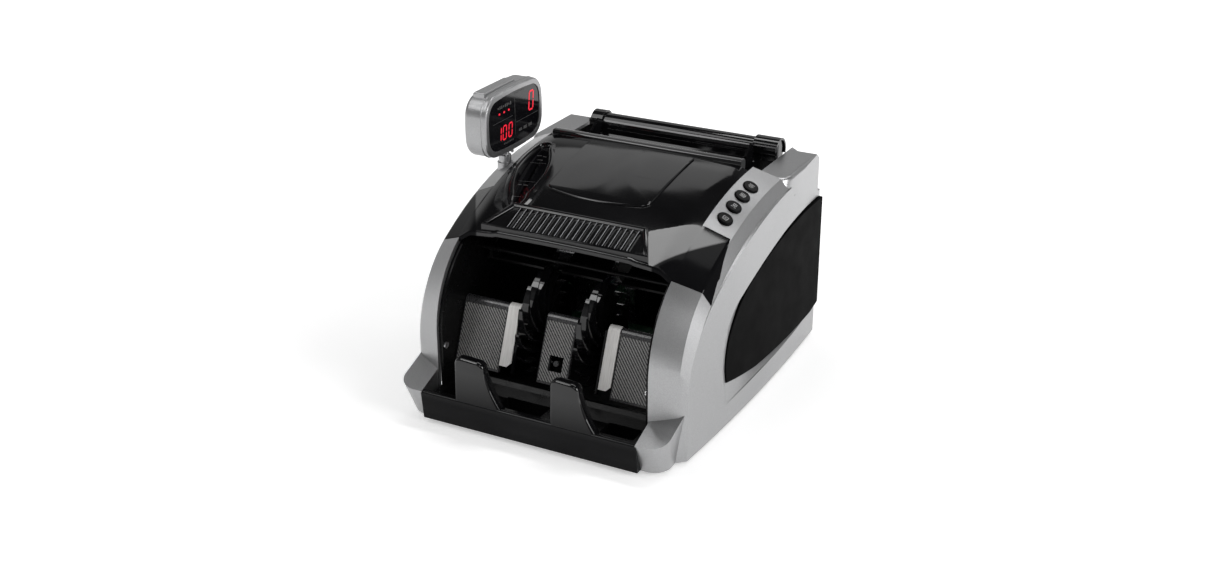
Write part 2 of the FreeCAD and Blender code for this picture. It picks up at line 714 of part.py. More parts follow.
def key_board():
    """Key switch board under the strip, with one dome switch per key."""
    n = strip_normal()
    first, last = button_point(0), button_point(3)
    along = (last - first).normalize()
    across = along.cross(n).normalize()
    half, length = 5.4, 68.0
    corner = first - n * 9.5 - along * 10 - across * half
    far = corner + across * half * 2
    board = Part.Face(Part.makePolygon([corner, far, far + along * length, corner + along * length,
                                        corner])).extrude(n * 1.4)
    switches = [Part.makeCylinder(3.0, 1.4, button_point(k) - n * 8.1, n) for k in range(4)]
    return fuse([board] + switches)


# ---------------------------------------------------------------- rear and hopper
def rear_cover():
    """Rear wall with louvres and the cut-outs for inlet, switch and knob."""
    half = SHELL_IN - GAP
    plan = box(-half, half, UPPER_REAR + 0.2, REAR, SKIRT_Z, UPPER_REAR_Z)
    edges = [e for e in plan.Edges if e.BoundBox.YMin > REAR - 0.1 and abs(e.tangentAt(0).x) > 0.9]
    wall = plan.makeFillet(2.0, [e for e in edges if e.BoundBox.ZMin > 50])
    wall = wall.cut(box(-half + WALL, half - WALL, 130, REAR - WALL, 0, UPPER_REAR_Z - WALL))
    wall = wall.cut(box(INLET_X - 14.2, INLET_X + 14.2, 130, 160, INLET_Z - 10.2, INLET_Z + 10.2))
    wall = wall.cut(box(SWITCH_X - 6.7, SWITCH_X + 6.7, 130, 160, INLET_Z - 9.7, INLET_Z + 9.7))
    wall = wall.cut(cyl_y(KNOB_R + 0.6, 130, 160, KNOB_X, KNOB_Z))
    for k in range(9):
        z = 60 + 5.0 * k
        wall = wall.cut(rounded_slot(-70, -10, z))
    return biggest(wall)


def rounded_slot(x0, x1, z):
    ends = [cyl_y(1.1, 130, 160, x, z) for x in (x0, x1)]
    return fuse([box(x0, x1, 130, 160, z - 1.1, z + 1.1)] + ends)


def mains_inlet():
    """Appliance inlet with its three pins, set in the rear wall."""
    body = box(INLET_X - 14, INLET_X + 14, 122, REAR - 0.4, INLET_Z - 10, INLET_Z + 10)
    flange = box(INLET_X - 14, INLET_X + 14, REAR - 2.4, REAR - 0.4, INLET_Z - 10, INLET_Z + 10)
    well = rounded_well(INLET_X, INLET_Z, 24.4, 16.4, 128)
    pins = [box(INLET_X + dx - 1, INLET_X + dx + 1, 126, 143, INLET_Z + dz - 2, INLET_Z + dz + 2)
            for dx, dz in ((-7, -2), (0, 2), (7, -2))]
    return fuse([fuse([body, flange]).cut(well)] + pins)


def rounded_well(x, z, width, height, y0):
    solid = box(x - width / 2, x + width / 2, y0, 160, z - height / 2, z + height / 2)
    upper = [e for e in solid.Edges if abs(e.tangentAt(0).y) > 0.9]
    return solid.makeFillet(2.5, upper)


def switch_body():
    """Housing of the power rocker, open to the back."""
    body = box(SWITCH_X - 6.5, SWITCH_X + 6.5, 124, REAR - 0.4, INLET_Z - 9.5, INLET_Z + 9.5)
    sockets = cyl_x(ROCKER_PIN_R + BEARING_GAP, SWITCH_X - ROCKER_PIN_END - 0.1,
                    SWITCH_X + ROCKER_PIN_END + 0.1, ROCKER_PIVOT_Y, INLET_Z)
    well = box(SWITCH_X - 5.3, SWITCH_X + 5.3, 131, 160, INLET_Z - 8.4, INLET_Z + 8.4)
    return body.cut(well).cut(sockets)


def power_rocker():
    """Rocker with its two shallow faces, resting pressed in at the top."""
    half = 7.0
    y, z = ROCKER_PIVOT_Y, INLET_Z
    face = [(y - 3, z - 3), (y + 5.0, z - half), (y + 6.4, z - half), arc((y + 4.8, z), (y + 6.4, z + half)),
            (y + 5.0, z + half), (y - 3, z + 3)]
    level = prism_x(face, SWITCH_X - 5.0, SWITCH_X + 5.0)
    pins = cyl_x(ROCKER_PIN_R, SWITCH_X - ROCKER_PIN_END, SWITCH_X + ROCKER_PIN_END, y, z)
    return tilted(fuse([level, pins]), V(SWITCH_X, y, z), ROCKER_THROW / 2)


def gap_knob():
    """Knurled thumb screw that sets the feed gap."""
    head = cyl_y(KNOB_R, REAR - 10.6, REAR - 0.4, KNOB_X, KNOB_Z)
    grooves = []
    for k in range(18):
        a = math.radians(20 * k)
        x, z = KNOB_X + (KNOB_R + 0.1) * math.cos(a), KNOB_Z + (KNOB_R + 0.1) * math.sin(a)
        grooves.append(cyl_y(0.9, 100, 160, x, z))
    slot = box(KNOB_X - 5, KNOB_X + 5, REAR - 2, REAR, KNOB_Z - 0.7, KNOB_Z + 0.7)
    shank = cyl_y(SHAFT_R, 104, REAR - 8, KNOB_X, KNOB_Z)
    return fuse([head.cut(group(grooves)).cut(slot), shank])


def gap_bracket():
    """Nut block on a strut that the gap screw runs in."""
    block = box(KNOB_X - 7, KNOB_X + 7, 104, 112, KNOB_Z - 7, KNOB_Z + 7)
    block = block.cut(cyl_y(SHAFT_R + BEARING_GAP, 90, 120, KNOB_X, KNOB_Z))
    strut = box(KNOB_X + 7, FRAME_IN, 105, 111, KNOB_Z - 5, KNOB_Z + 5)
    return fuse([block, strut])


def hopper_floor():
    """Sloping feed floor with slots for the pickup rollers."""
    plate = prism_x([(57.5, 127), (98, 141.2), (98, 143.3), (57.5, 129.1)], -FRAME_IN + 0.3, FRAME_IN - 0.3)
    for x in (-34, 34):
        plate = plate.cut(box(x - 10, x + 10, 64, 93, 110, 150))
    return plate


def upper_rear_plate():
    """Fixed lintel over the rear cover, with the hopper tray's hinge knuckles."""
    lintel = box(-FRAME_IN + 0.3, FRAME_IN - 0.3, 128.5, 140.9, 128, 131)
    rear = box(-FRAME_IN + 0.3, FRAME_IN - 0.3, 137, 140.9, 118, 131)
    y, z = HOPPER_HINGE
    ears = []
    for x in (-70, 66):
        ear = fuse([box(x, x + 4, y - 3.4, 140.9, 130, z), cyl_x(3.4, x, x + 4, y, z).common(
            box(-100, 100, 100, 140.9, 120, 160))])
        ears.append(ear.cut(cyl_x(1.5, -100, 100, y, z)))
    return fuse([lintel, rear] + ears)


def hinge_pins():
    y, z = HOPPER_HINGE
    return group([cyl_x(1.5, x0, x1, y, z) for x0, x1 in ((-70, -58), (58, 70))])


def hopper_tray():
    """Hinged back tray of the hopper with the rolled bar along its top."""
    y, z = HOPPER_HINGE
    w = BAR_HALF - 1.5
    sheet = prism_x([(99.5, 144.2), (119.5, 160), (119.5, 166), (117.5, 166), (117.5, 161.2),
                     (98.6, 146.2)], -w, w)
    bar = cyl_x(BAR_R, -w, w, *BAR)
    groove = tube_x(BAR_R + 1, BAR_R - 1.2, -w, w, *BAR).common(
        prism_x([BAR, (BAR[0] - 14, BAR[1] + 6.5), (BAR[0] - 14, BAR[1] + 3.4)], -60, 60))
    web = prism_x([(118.5, 161.5), (131, 161.5), (136, 150), (136, 142.6), (133.5, 142.6), (133.5, 149),
                   (128, 156), (115.6, 155.4)], -w, w)
    knuckles = [tube_x(3.2, 1.5 + BEARING_GAP, x0, x1, y, z) for x0, x1 in ((-65.6, -58), (58, 65.6))]
    arms = [box(x0, x1, y - 5, y - 2.4, z, 144) for x0, x1 in ((-65.6, -58), (58, 65.6))]
    arms = [a.cut(cyl_x(1.5 + BEARING_GAP, -100, 100, y, z)) for a in arms]
    return fuse([sheet, bar.cut(groove), web] + arms + knuckles)


def guide_sleeve(x0, x1):
    """Sleeve of a side guide, clipped over the bar."""
    sleeve = tube_x(BAR_R + 2.0, BAR_R + GAP, x0, x1, *BAR)
    under = prism_x([BAR, (BAR[0] - 22, BAR[1] - 1), (BAR[0] - 22, BAR[1] - 30),
                     (BAR[0] + 22, BAR[1] - 30), (BAR[0] + 22, BAR[1] - 8)], x0 - 1, x1 + 1)
    return sleeve.cut(under)


def guide_fence(inner, outward):
    """Thin fence that stands in the hopper in front of the bar."""
    outer = inner + 2.0 * outward
    x0, x1 = min(inner, outer), max(inner, outer)
    fence = prism_x([(104, 150.5), (114.6, 159.2), (114.6, 166), (117.2, 170), (117.2, 174), (112, 176),
                     (100, 168)], x0, x1)
    return fence


def note_guide(x0, x1, inner, outward):
    """Sliding side guide: sleeve, bridge and fence."""
    sleeve = guide_sleeve(x0, x1)
    fence = guide_fence(inner, outward)
    bridge = box(x0, x1, 114.8, 118.2, 170.5, 173.5)
    return fuse([sleeve, fence, bridge.cut(cyl_x(BAR_R + GAP, -100, 100, *BAR))])


# ---------------------------------------------------------------- drive train
def tyres(y, z, radius, centres, width):
    """Rubber rollers on a shaft, with rounded edges."""
    solids = []
    for x in centres:
        tyre = tube_x(radius, SHAFT_R, x - width / 2, x + width / 2, y, z)
        edges = [e for e in tyre.Edges if e.Closed and abs(e.Curve.Radius - radius) < 0.01]
        solids.append(tyre.makeFillet(0.8, edges))
    return group(solids)


def pulley(y, z, radius, x0):
    """Flanged belt pulley, its hub starting at x0."""
    rim = 1.6
    hub = cyl_x(radius, x0, x0 + PULLEY_W, y, z)
    flanges = [cyl_x(radius + rim, x, x + 1.0, y, z) for x in (x0 - 1.0, x0 + PULLEY_W)]
    return fuse([hub] + flanges)


def belt(a, ra, b, rb, x0):
    """Flat belt round two pulleys, a hair clear of both."""
    clear = 0.25
    inner = belt_loop(a, ra + clear, b, rb + clear, x0)
    outer = belt_loop(a, ra + clear + BELT_T, b, rb + clear + BELT_T, x0)
    return outer.cut(inner)


def belt_loop(a, ra, b, rb, x0):
    """Convex solid that a belt encloses: two discs joined by their outer tangents."""
    dy, dz = b[0] - a[0], b[1] - a[1]
    dist = math.hypot(dy, dz)
    base = math.atan2(dz, dy)
    swing = math.acos((ra - rb) / dist)
    pts = []
    for sign in (1, -1):
        t = base + sign * swing
        pts.append(((a[0] + ra * math.cos(t), a[1] + ra * math.sin(t)),
                    (b[0] + rb * math.cos(t), b[1] + rb * math.sin(t))))
    (a1, b1), (a2, b2) = pts
    far = (b[0] + rb * math.cos(base), b[1] + rb * math.sin(base))
    near = (a[0] - ra * math.cos(base), a[1] - ra * math.sin(base))
    x1 = x0 + BELT_W
    return prism_x([a1, b1, arc(far, b2), a2, arc(near, a1)], x0, x1)


def stacker_wheel(x):
    """Wheel of thin curved vanes that lays the notes down in the bay."""
    y, z = STACKER
    half = 7.5
    hub = tube_x(14.0, SHAFT_R, x - half, x + half, y, z)
    web = tube_x(22.0, SHAFT_R, x - 1.2, x + 1.2, y, z)
    vanes = []
    tip_r, mid_r, root_r = WHEEL_R - 0.2, 27.0, 13.0
    for k in range(VANES):
        a = 2 * math.pi * k / VANES
        root, mid, tip = polar(y, z, root_r, a), polar(y, z, mid_r, a - 0.7), polar(y, z, tip_r, a - 1.45)
        tip_in, mid_in = polar(y, z, tip_r, a - 1.49), polar(y, z, mid_r, a - 0.775)
        root_in = polar(y, z, root_r, a - 0.16)
        vanes.append(prism_x([root, arc(mid, tip), tip_in, arc(mid_in, root_in)], x - half, x + half))
    return fuse([hub, web] + vanes).common(lens(x, y, z, half, tip_r))


def lens(x, y, z, half, radius):
    """Body of revolution that tapers the wheel's vanes towards their tips."""
    section = [V(x - half, y, z), V(x + half, y, z), V(x + half, y, z + 20), V(x + 1.6, y, z + radius + 0.1),
               V(x - 1.6, y, z + radius + 0.1), V(x - half, y, z + 20)]
    return Part.Face(Part.makePolygon(section + [section[0]])).revolve(V(x, y, z), V(1, 0, 0), 360)


def polar(y, z, r, a):
    return (y + r * math.cos(a), z + r * math.sin(a))


def motor(y, z, r, x0, x1):
    """Motor can with rounded ends."""
    can = cyl_x(r, x0, x1, y, z)
    can = can.makeFillet(1.5, [e for e in can.Edges if e.Closed])
    return can


def upper_guide():
    """Guide sheet over the wheels, with the bright rounded cross bar on its front edge."""
    sheet = prism_x([(-56.5, 107.2), (-22, 120.8), (-22, 122.4), (-56.5, 108.9)], -86, 86)
    for x in (-26, 26):
        sheet = sheet.cut(box(x - 8, x + 8, -60, -30, 100, 130))
    bar = cyl_x(2.0, -87.8, 87.8, -58.5, 117.5)
    lugs = [box(s * 80 - 1.5, s * 80 + 1.5, -59.5, -50, 109, 117.5) for s in (-1, 1)]
    return fuse([sheet, bar] + lugs)


def separator_roller():
    """Fixed rubber roller on its pin above the feed drums."""
    y, z = SEPARATOR
    pin = cyl_x(SHAFT_R, -FRAME_OUT, FRAME_OUT, y, z)
    rolls = [tube_x(SEPARATOR_R, SHAFT_R, x - 10, x + 10, y, z) for x in (-34, 34)]
    return group([pin] + rolls)


def transformer():
    """Laminated core with a wound bobbin, on its bracket."""
    core = box(-78, -30, 74, 112, 8.6, 46)
    coil = rounded_x(-84, -24, 80, 106, 14, 41, 4)
    bracket = box(-84, -24, 70, 116, 6.6, 8.6)
    return fuse([core, coil, bracket])


def main_board():
    """Control board with its larger components."""
    board = box(-76, 76, 8, 62, 14, 15.6)
    chips = [box(-60, -40, 20, 40, 15.6, 18), box(-20, 10, 30, 50, 15.6, 18), box(30, 60, 14, 22, 15.6, 25)]
    cans = [cyl_z(5, 15.6, 32, -30, 16), cyl_z(5, 15.6, 32, -16, 16), cyl_z(4, 15.6, 26, 24, 44)]
    sink = [box(40 + 3 * k, 41 + 3 * k, 34, 56, 15.6, 34) for k in range(8)]
    sink.append(box(40, 62, 34, 56, 15.6, 17.6))
    posts = [cyl_z(3, FOOT_H + 1.6, 14, x, y) for x in (-70, 70) for y in (14, 56)]
    return fuse([board] + chips + cans + sink + posts)


# ---------------------------------------------------------------- external display
def head_block(grow, x0, x1):
    """Rounded, slightly bowed slab of the external display between two x planes."""
    half_l = HEAD_LEN / 2 + grow
    half_h = HEAD_H / 2 + grow
    y, z = NECK[1], HEAD_Z
    bow = 2.4
    corner_l = half_l - bow
    corner_h = half_h - bow
    slab = prism_x([(y - corner_l, z - corner_h), arc((y - half_l, z), (y - corner_l, z + corner_h)),
                    arc((y, z + half_h), (y + corner_l, z + corner_h)),
                    arc((y + half_l, z), (y + corner_l, z - corner_h)),
                    arc((y, z - half_h), (y - corner_l, z - corner_h))], x0, x1)
    along = [e for e in slab.Edges if e.Curve.TypeId == "Part::GeomLine"]
    return slab.makeFillet(HEAD_CORNER + grow, along)


def head_case():
    """Silver case of the external display, hollow, with a ledge along its top."""
    case = head_block(0.0, HEAD_FACE - HEAD_T, HEAD_FACE)
    back = [e for e in case.Edges if e.BoundBox.XMax < HEAD_FACE - HEAD_T + 0.1]
    case = case.makeFillet(4.0, back)
    front = [e for e in case.Edges if e.BoundBox.XMin > HEAD_FACE - 0.1]
    case = case.makeFillet(1.6, front)
    ledge = box(HEAD_FACE - 17, HEAD_FACE - 7, NECK[1] - 34, NECK[1] + 12, HEAD_Z + 20,
                HEAD_Z + LEDGE_TOP)
    ledge = ledge.makeFillet(1.4, [e for e in ledge.Edges if e.BoundBox.ZMin > HEAD_Z + LEDGE_TOP - 1])
    hollow = head_block(-4.0, HEAD_FACE - HEAD_T + 2.5, HEAD_FACE - 2.6)
    mouth = head_block(-4.6, HEAD_FACE - 3.0, HEAD_FACE + 2)
    x, y = NECK
    clevis = cyl_z(CLEVIS_R, TILT_Z - 2.6, HEAD_Z - HEAD_H / 2 + 3.4, x, y)
    slot = box(x - 9, x + 9, y - EYE_HALF - 0.2, y + EYE_HALF + 0.2, TILT_Z - 4, TILT_Z + EYE_R + 0.4)
    holes = cyl_y(TRUNNION_R + BEARING_GAP, y - TRUNNION_END - 0.1, y + TRUNNION_END + 0.1, x, TILT_Z)
    solid = fuse([case.cut(hollow).cut(mouth), ledge, clevis])
    return biggest(solid.cut(slot).cut(holes))


def head_window():
    """Black window of the external display."""
    return head_block(-4.8, HEAD_FACE - 2.5, HEAD_FACE - 0.6)


def head_board():
    """Display board behind the window, with its digit blocks."""
    y, z = NECK[1], HEAD_Z
    board = box(HEAD_FACE - 10.6, HEAD_FACE - 9, y - 34, y + 34, z - 15, z + 15)
    digits = [box(HEAD_FACE - 9, HEAD_FACE - 3.4, y + 10, y + 34, z - 4, z + 15),
              box(HEAD_FACE - 9, HEAD_FACE - 3.4, y - 34, y - 2, z - 15, z + 2)]
    return fuse([board] + digits)


def display_neck():
    """Neck that turns in the left shell, with an eye and trunnions on top for the display."""
    x, y = NECK
    barrel = cyl_z(NECK_R, 142, 166.5, x, y)
    stem = cyl_z(STEM_R, 166, TILT_Z - 4.6, x, y)
    tip = cyl_z(EYE_HALF - 0.1, TILT_Z - 6, TILT_Z, x, y)
    eye = cyl_y(EYE_R, y - EYE_HALF, y + EYE_HALF, x, TILT_Z)
    trunnions = cyl_y(TRUNNION_R, y - TRUNNION_END, y + TRUNNION_END, x, TILT_Z)
    return fuse([barrel, stem, tip, eye, trunnions])


def neck_socket():
    """Cup on the left frame that the neck turns in."""
    x, y = NECK
    cup = cyl_z(NECK_R + 2.2, 139, 150.5, x, y)
    arm = box(x, -FRAME_OUT, y - 6, y + 6, 139, 141.9)
    return fuse([cup, arm]).cut(cyl_z(NECK_R + BEARING_GAP, 141.95, 170, x, y))


# ---------------------------------------------------------------- export
def build():
    os.makedirs("parts", exist_ok=True)
    save("base_pan", base_pan())
    save("feet", feet())
    frame = side_frame()
    save("side_frame_right", frame.cut(cyl_x(12.0, 80, 100, *MAIN_MOTOR)))
    save("side_frame_left", mirror(frame.cut(cyl_x(8.0, 80, 100, *STACKER_MOTOR))))
    save("shaft_bearings", bearings())
    save("frame_screws", frame_screws())
    save("side_shell_right", side_shell(True))
    save("side_shell_left", mirror(side_shell(False)))
    save("side_panel_right", side_panel())
    save("side_panel_left", mirror(side_panel()))
    save("front_lip", front_lip())
    save("bay_floor", bay_floor())
    save("back_plate_left", back_plate(-87.7, -48.4))
    save("back_plate_centre", group([centre_plate(), plate_sensor()]))
    save("back_plate_right", back_plate(49.6, 87.7))
    rails = [strip_rail(-37.2), strip_rail(36.6)]
    save("wear_strips", group([wear_strip(-48, -38), wear_strip(39, 49)] + rails))
    save("top_cover", top_cover())
    save("grille", grille())
    save("lid_panel", lid_panel())
    save("display_bezel", display_bezel())
    save("display_window", display_window())
    for k in range(4):
        save("button_%d" % (k + 1), button(k))
    save("rear_cover", rear_cover())
    save("power_inlet", group([mains_inlet(), switch_body()]))
    save("power_rocker", power_rocker())
    save("gap_knob", gap_knob())
    save("hopper_floor", hopper_floor())
    save("frame_brackets", group([upper_rear_plate(), hinge_pins(), gap_bracket(), neck_socket()]))
    save("hopper_tray", hopper_tray())
    save("note_guide_left", note_guide(-86.5, -75.5, -75.5, -1))
    save("note_guide_right", note_guide(65, 86.5, 65, 1))
    save("upper_guide", upper_guide())
    save("separator_roller", separator_roller())
    build_drive()
    save("transformer", transformer())
    save("circuit_boards", group([main_board(), display_board(), key_board()]))
    save("head_case", head_case())
    save("head_window", head_window())
    save("head_board", head_board())
    save("display_neck", display_neck())


def build_drive():
    """Shafts, rollers, pulleys, belts and motors."""
    right, left = BELT_PLANE, -BELT_PLANE - PULLEY_W
    near, far = left - 2.0, OUTER_PLANE
    save("feed_shaft", fuse([cyl_x(SHAFT_R, near, SHAFT_END, *FEED), pulley(*FEED, FEED_PULLEY_R, right),
                             pulley(*FEED, DRIVE_PULLEY_R, far), pulley(*FEED, DRIVE_PULLEY_R, left)]))
    save("feed_rollers", tyres(*FEED, FEED_R, (-34, 34), 22))
    inner_end = FRAME_OUT + 3.5
    save("pickup_shaft", fuse([cyl_x(SHAFT_R, -inner_end, SHAFT_END, *PICKUP),
                               pulley(*PICKUP, DRIVE_PULLEY_R, far)]))
    save("pickup_rollers", tyres(*PICKUP, PICKUP_R, (-34, 34), 16))
    save("transport_shaft", fuse([cyl_x(SHAFT_R, near, inner_end, *TRANSPORT),
                                  pulley(*TRANSPORT, DRIVE_PULLEY_R, left)]))
    save("transport_rollers", tyres(*TRANSPORT, TRANSPORT_R, (-60, -20, 20, 60), 12))
    idler_shaft = cyl_x(IDLER_SHAFT_R, -FRAME_OUT - 1, FRAME_OUT + 1, *IDLER)
    idlers = tyres(*IDLER, IDLER_R, (-60, -20, 20, 60), 10)
    save("idler_rollers", fuse([idler_shaft] + idlers.Solids))
    save("stacker_shaft", fuse([cyl_x(SHAFT_R, near, inner_end, *STACKER),
                                pulley(*STACKER, STACKER_PULLEY_R, left)]))
    save("stacker_wheel_left", stacker_wheel(-26.0))
    save("stacker_wheel_right", stacker_wheel(24.5))
    save("main_motor", motor(*MAIN_MOTOR, 26.0, 24, FRAME_IN))
    save("main_motor_pulley", fuse([cyl_x(SHAFT_R, FRAME_IN + GAP, right + PULLEY_W + 3, *MAIN_MOTOR),
                                    pulley(*MAIN_MOTOR, MAIN_MOTOR_PULLEY_R, right)]))
    save("stacker_motor", motor(*STACKER_MOTOR, 16.0, -FRAME_IN, -48))
    save("stacker_motor_pulley", fuse([cyl_x(SHAFT_R, near, -FRAME_IN - GAP, *STACKER_MOTOR),
                                       pulley(*STACKER_MOTOR, STACKER_MOTOR_PULLEY_R, left)]))
    on_hub = (PULLEY_W - BELT_W) / 2
    save("main_belt", belt(MAIN_MOTOR, MAIN_MOTOR_PULLEY_R, FEED, FEED_PULLEY_R, right + on_hub))
    save("pickup_belt", belt(PICKUP, DRIVE_PULLEY_R, FEED, DRIVE_PULLEY_R, far + on_hub))
    save("transport_belt", belt(TRANSPORT, DRIVE_PULLEY_R, FEED, DRIVE_PULLEY_R, left + on_hub))
    save("stacker_belt", belt(STACKER_MOTOR, STACKER_MOTOR_PULLEY_R, STACKER, STACKER_PULLEY_R,
                              left + on_hub))


build()
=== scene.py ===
"""Looks of the banknote counting machine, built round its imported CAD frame. Metres, +X right, +Y back."""
import json
import math

import bmesh
import bpy
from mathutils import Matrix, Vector


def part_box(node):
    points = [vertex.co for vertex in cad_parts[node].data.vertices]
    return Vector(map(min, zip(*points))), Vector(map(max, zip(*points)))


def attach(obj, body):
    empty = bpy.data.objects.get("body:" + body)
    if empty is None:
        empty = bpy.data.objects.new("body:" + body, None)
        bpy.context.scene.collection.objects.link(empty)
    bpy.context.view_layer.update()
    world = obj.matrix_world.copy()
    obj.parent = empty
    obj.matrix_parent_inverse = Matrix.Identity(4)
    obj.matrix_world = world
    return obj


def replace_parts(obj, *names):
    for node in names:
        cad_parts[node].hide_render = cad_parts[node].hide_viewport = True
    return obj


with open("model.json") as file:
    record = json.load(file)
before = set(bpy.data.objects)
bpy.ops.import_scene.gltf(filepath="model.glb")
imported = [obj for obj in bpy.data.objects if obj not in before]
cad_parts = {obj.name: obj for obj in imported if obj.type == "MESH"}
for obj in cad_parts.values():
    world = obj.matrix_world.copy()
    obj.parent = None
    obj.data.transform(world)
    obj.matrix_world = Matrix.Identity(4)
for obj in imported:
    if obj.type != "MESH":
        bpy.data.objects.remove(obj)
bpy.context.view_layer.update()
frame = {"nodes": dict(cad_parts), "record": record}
NODES = frame["nodes"]
BODY_OF = {n: b for b, ns in frame["record"]["behaviour"]["bodies"].items() for n in ns}
MM = 0.001
X, Y, Z = Vector((1, 0, 0)), Vector((0, 1, 0)), Vector((0, 0, 1))


# ---------------------------------------------------------------- materials
PLATE_OUT = (0.0, -0.9271, 0.3748)      # out of the back plates' slope
PLATE_LEVEL = 0.11130                   # the slope's distance along it, m
RIB_HIGHLIGHT_RISE = (0.10 * MM, 0.40 * MM)       # from just above the grooves to just under the rib tops, over which painted shade turns to painted highlight
CAP_SLANT = (1.6, 1.0, 0.0)             # the corner caps' inner line runs square to this in plan
CAP_LINE = (0.2065, 0.2090)             # and lies this far out along it, m
CAP_SHINE = (0.5, 0.03)                 # shine of the cover inside the line and outside it
LIP_SHINE = (0.09, 0.55)                # shine of the front plate, low and high
LIP_HEIGHTS = (0.022, 0.052)            # the heights it changes between, m


class Maker:
    """A node material with a Principled shader and helpers to wire its procedural detail."""

    def __init__(self, name, colour, rough, metal=0.0, specular=0.5):
        self.mat = bpy.data.materials.new(name)
        self.mat.use_nodes = True
        self.tree = self.mat.node_tree
        self.shader = self.tree.nodes["Principled BSDF"]
        self.put("Base Color", (*colour, 1.0))
        self.put("Roughness", rough)
        self.put("Metallic", metal)
        self.put("Specular IOR Level", specular)
        self.coords = self.tree.nodes.new("ShaderNodeTexCoord").outputs["Object"]

    def put(self, socket, value):
        self.shader.inputs[socket].default_value = value
        return self

    def link(self, a, b):
        self.tree.links.new(a, b)

    def node(self, kind, **values):
        made = self.tree.nodes.new("ShaderNode" + kind)
        for key, value in values.items():
            if key in made.inputs:
                made.inputs[key].default_value = value
            else:
                setattr(made, key, value)
        return made

    def noise(self, scale, detail=2.0, stretch=(1, 1, 1)):
        """Noise whose scale is in cycles per metre, drawn out along an axis by stretch."""
        mapping = self.node("Mapping")
        mapping.inputs["Scale"].default_value = stretch
        self.link(self.coords, mapping.inputs["Vector"])
        made = self.node("TexNoise", Scale=scale, Detail=detail)
        self.link(mapping.outputs["Vector"], made.inputs["Vector"])
        return made.outputs["Fac"]

    def along(self, direction, mirrored=False):
        """How far out the surface lies along a direction, in metres; mirrored treats both sides alike."""
        source = self.coords
        if mirrored:
            positive = self.node("VectorMath", operation="ABSOLUTE")
            self.link(source, positive.inputs[0])
            source = positive.outputs["Vector"]
        made = self.node("VectorMath", operation="DOT_PRODUCT")
        self.link(source, made.inputs[0])
        made.inputs[1].default_value = direction
        return made.outputs["Value"]

    def spread(self, fac, low, high, start=0.3, end=0.7):
        """Maps a factor on to a range of values."""
        made = self.node("MapRange")
        for key, value in (("From Min", start), ("From Max", end), ("To Min", low), ("To Max", high)):
            made.inputs[key].default_value = value
        self.link(fac, made.inputs["Value"])
        return made.outputs["Result"]

    def colours(self, fac, a, b, start=0.3, end=0.7):
        """Base colour that runs from a to b with a factor."""
        ramp = self.node("ValToRGB")
        ramp.color_ramp.elements[0].position = start
        ramp.color_ramp.elements[1].position = end
        ramp.color_ramp.elements[0].color = (*a, 1)
        ramp.color_ramp.elements[1].color = (*b, 1)
        self.link(fac, ramp.inputs["Fac"])
        self.link(ramp.outputs["Color"], self.shader.inputs["Base Color"])
        return self

    def roughness(self, fac, low, high, start=0.3, end=0.7):
        self.link(self.spread(fac, low, high, start, end), self.shader.inputs["Roughness"])
        return self

    def shine(self, fac, low, high, start, end):
        self.link(self.spread(fac, low, high, start, end), self.shader.inputs["Specular IOR Level"])
        return self

    def bump(self, *layers):
        """Bump from (factor, strength, height in millimetres) layers, one on top of another."""
        normal = None
        for fac, strength, height in layers:
            made = self.node("Bump", Strength=strength, Distance=height * MM)
            self.link(fac, made.inputs["Height"])
            if normal is not None:
                self.link(normal, made.inputs["Normal"])
            normal = made.outputs["Normal"]
        self.link(normal, self.shader.inputs["Normal"])
        return self


def shade(colour, factor):
    return tuple(c * factor for c in colour)


def silver_paint():
    """Metallic silver paint: flakes, a slow drift of tone and a fine sprayed grain."""
    tone = (0.37, 0.371, 0.376)
    m = Maker("silver_paint", tone, 0.34, metal=0.9)
    flakes = m.noise(2600, 1.0)
    m.colours(flakes, shade(tone, 0.82), shade(tone, 1.18), 0.28, 0.74)
    m.roughness(m.noise(14, 3.0), 0.30, 0.38)
    return m.bump((flakes, 0.10, 0.05), (m.noise(420, 2.0), 0.06, 0.12)).mat


def gloss_black(name):
    """Moulded gloss black plastic with a trace of orange peel and rubbed haze."""
    m = Maker(name, (0.0045, 0.0045, 0.005), 0.07)
    haze = m.noise(22, 4.0)
    m.colours(haze, (0.003, 0.003, 0.0034), (0.0065, 0.0065, 0.0072))
    m.roughness(haze, 0.045, 0.11)
    return m.bump((m.noise(90, 1.0), 0.05, 0.12))


def cover_gloss():
    """Gloss black of the cover, whose corner caps are duller outside a line slanting across them."""
    m = gloss_black("cover_gloss")
    return m.shine(m.along(CAP_SLANT, mirrored=True), *CAP_SHINE, *CAP_LINE)


def lip_gloss():
    """Gloss black of the front plate and its posts, shinier the higher they stand."""
    m = gloss_black("lip_gloss")
    return m.shine(m.along(Z), *LIP_SHINE, *LIP_HEIGHTS)


def satin_black(name="satin_black", level=0.009, low=0.34, high=0.46, grain=1500, specular=0.35):
    """Moulded satin black plastic with an eroded fine texture."""
    tone = (level, level, level * 1.05)
    m = Maker(name, tone, 0.4, specular=specular)
    m.colours(m.noise(30, 4.0), shade(tone, 0.75), shade(tone, 1.3))
    m.roughness(m.noise(55, 4.0), low, high)
    return m.bump((m.noise(grain, 2.0), 0.22, 0.07)).mat


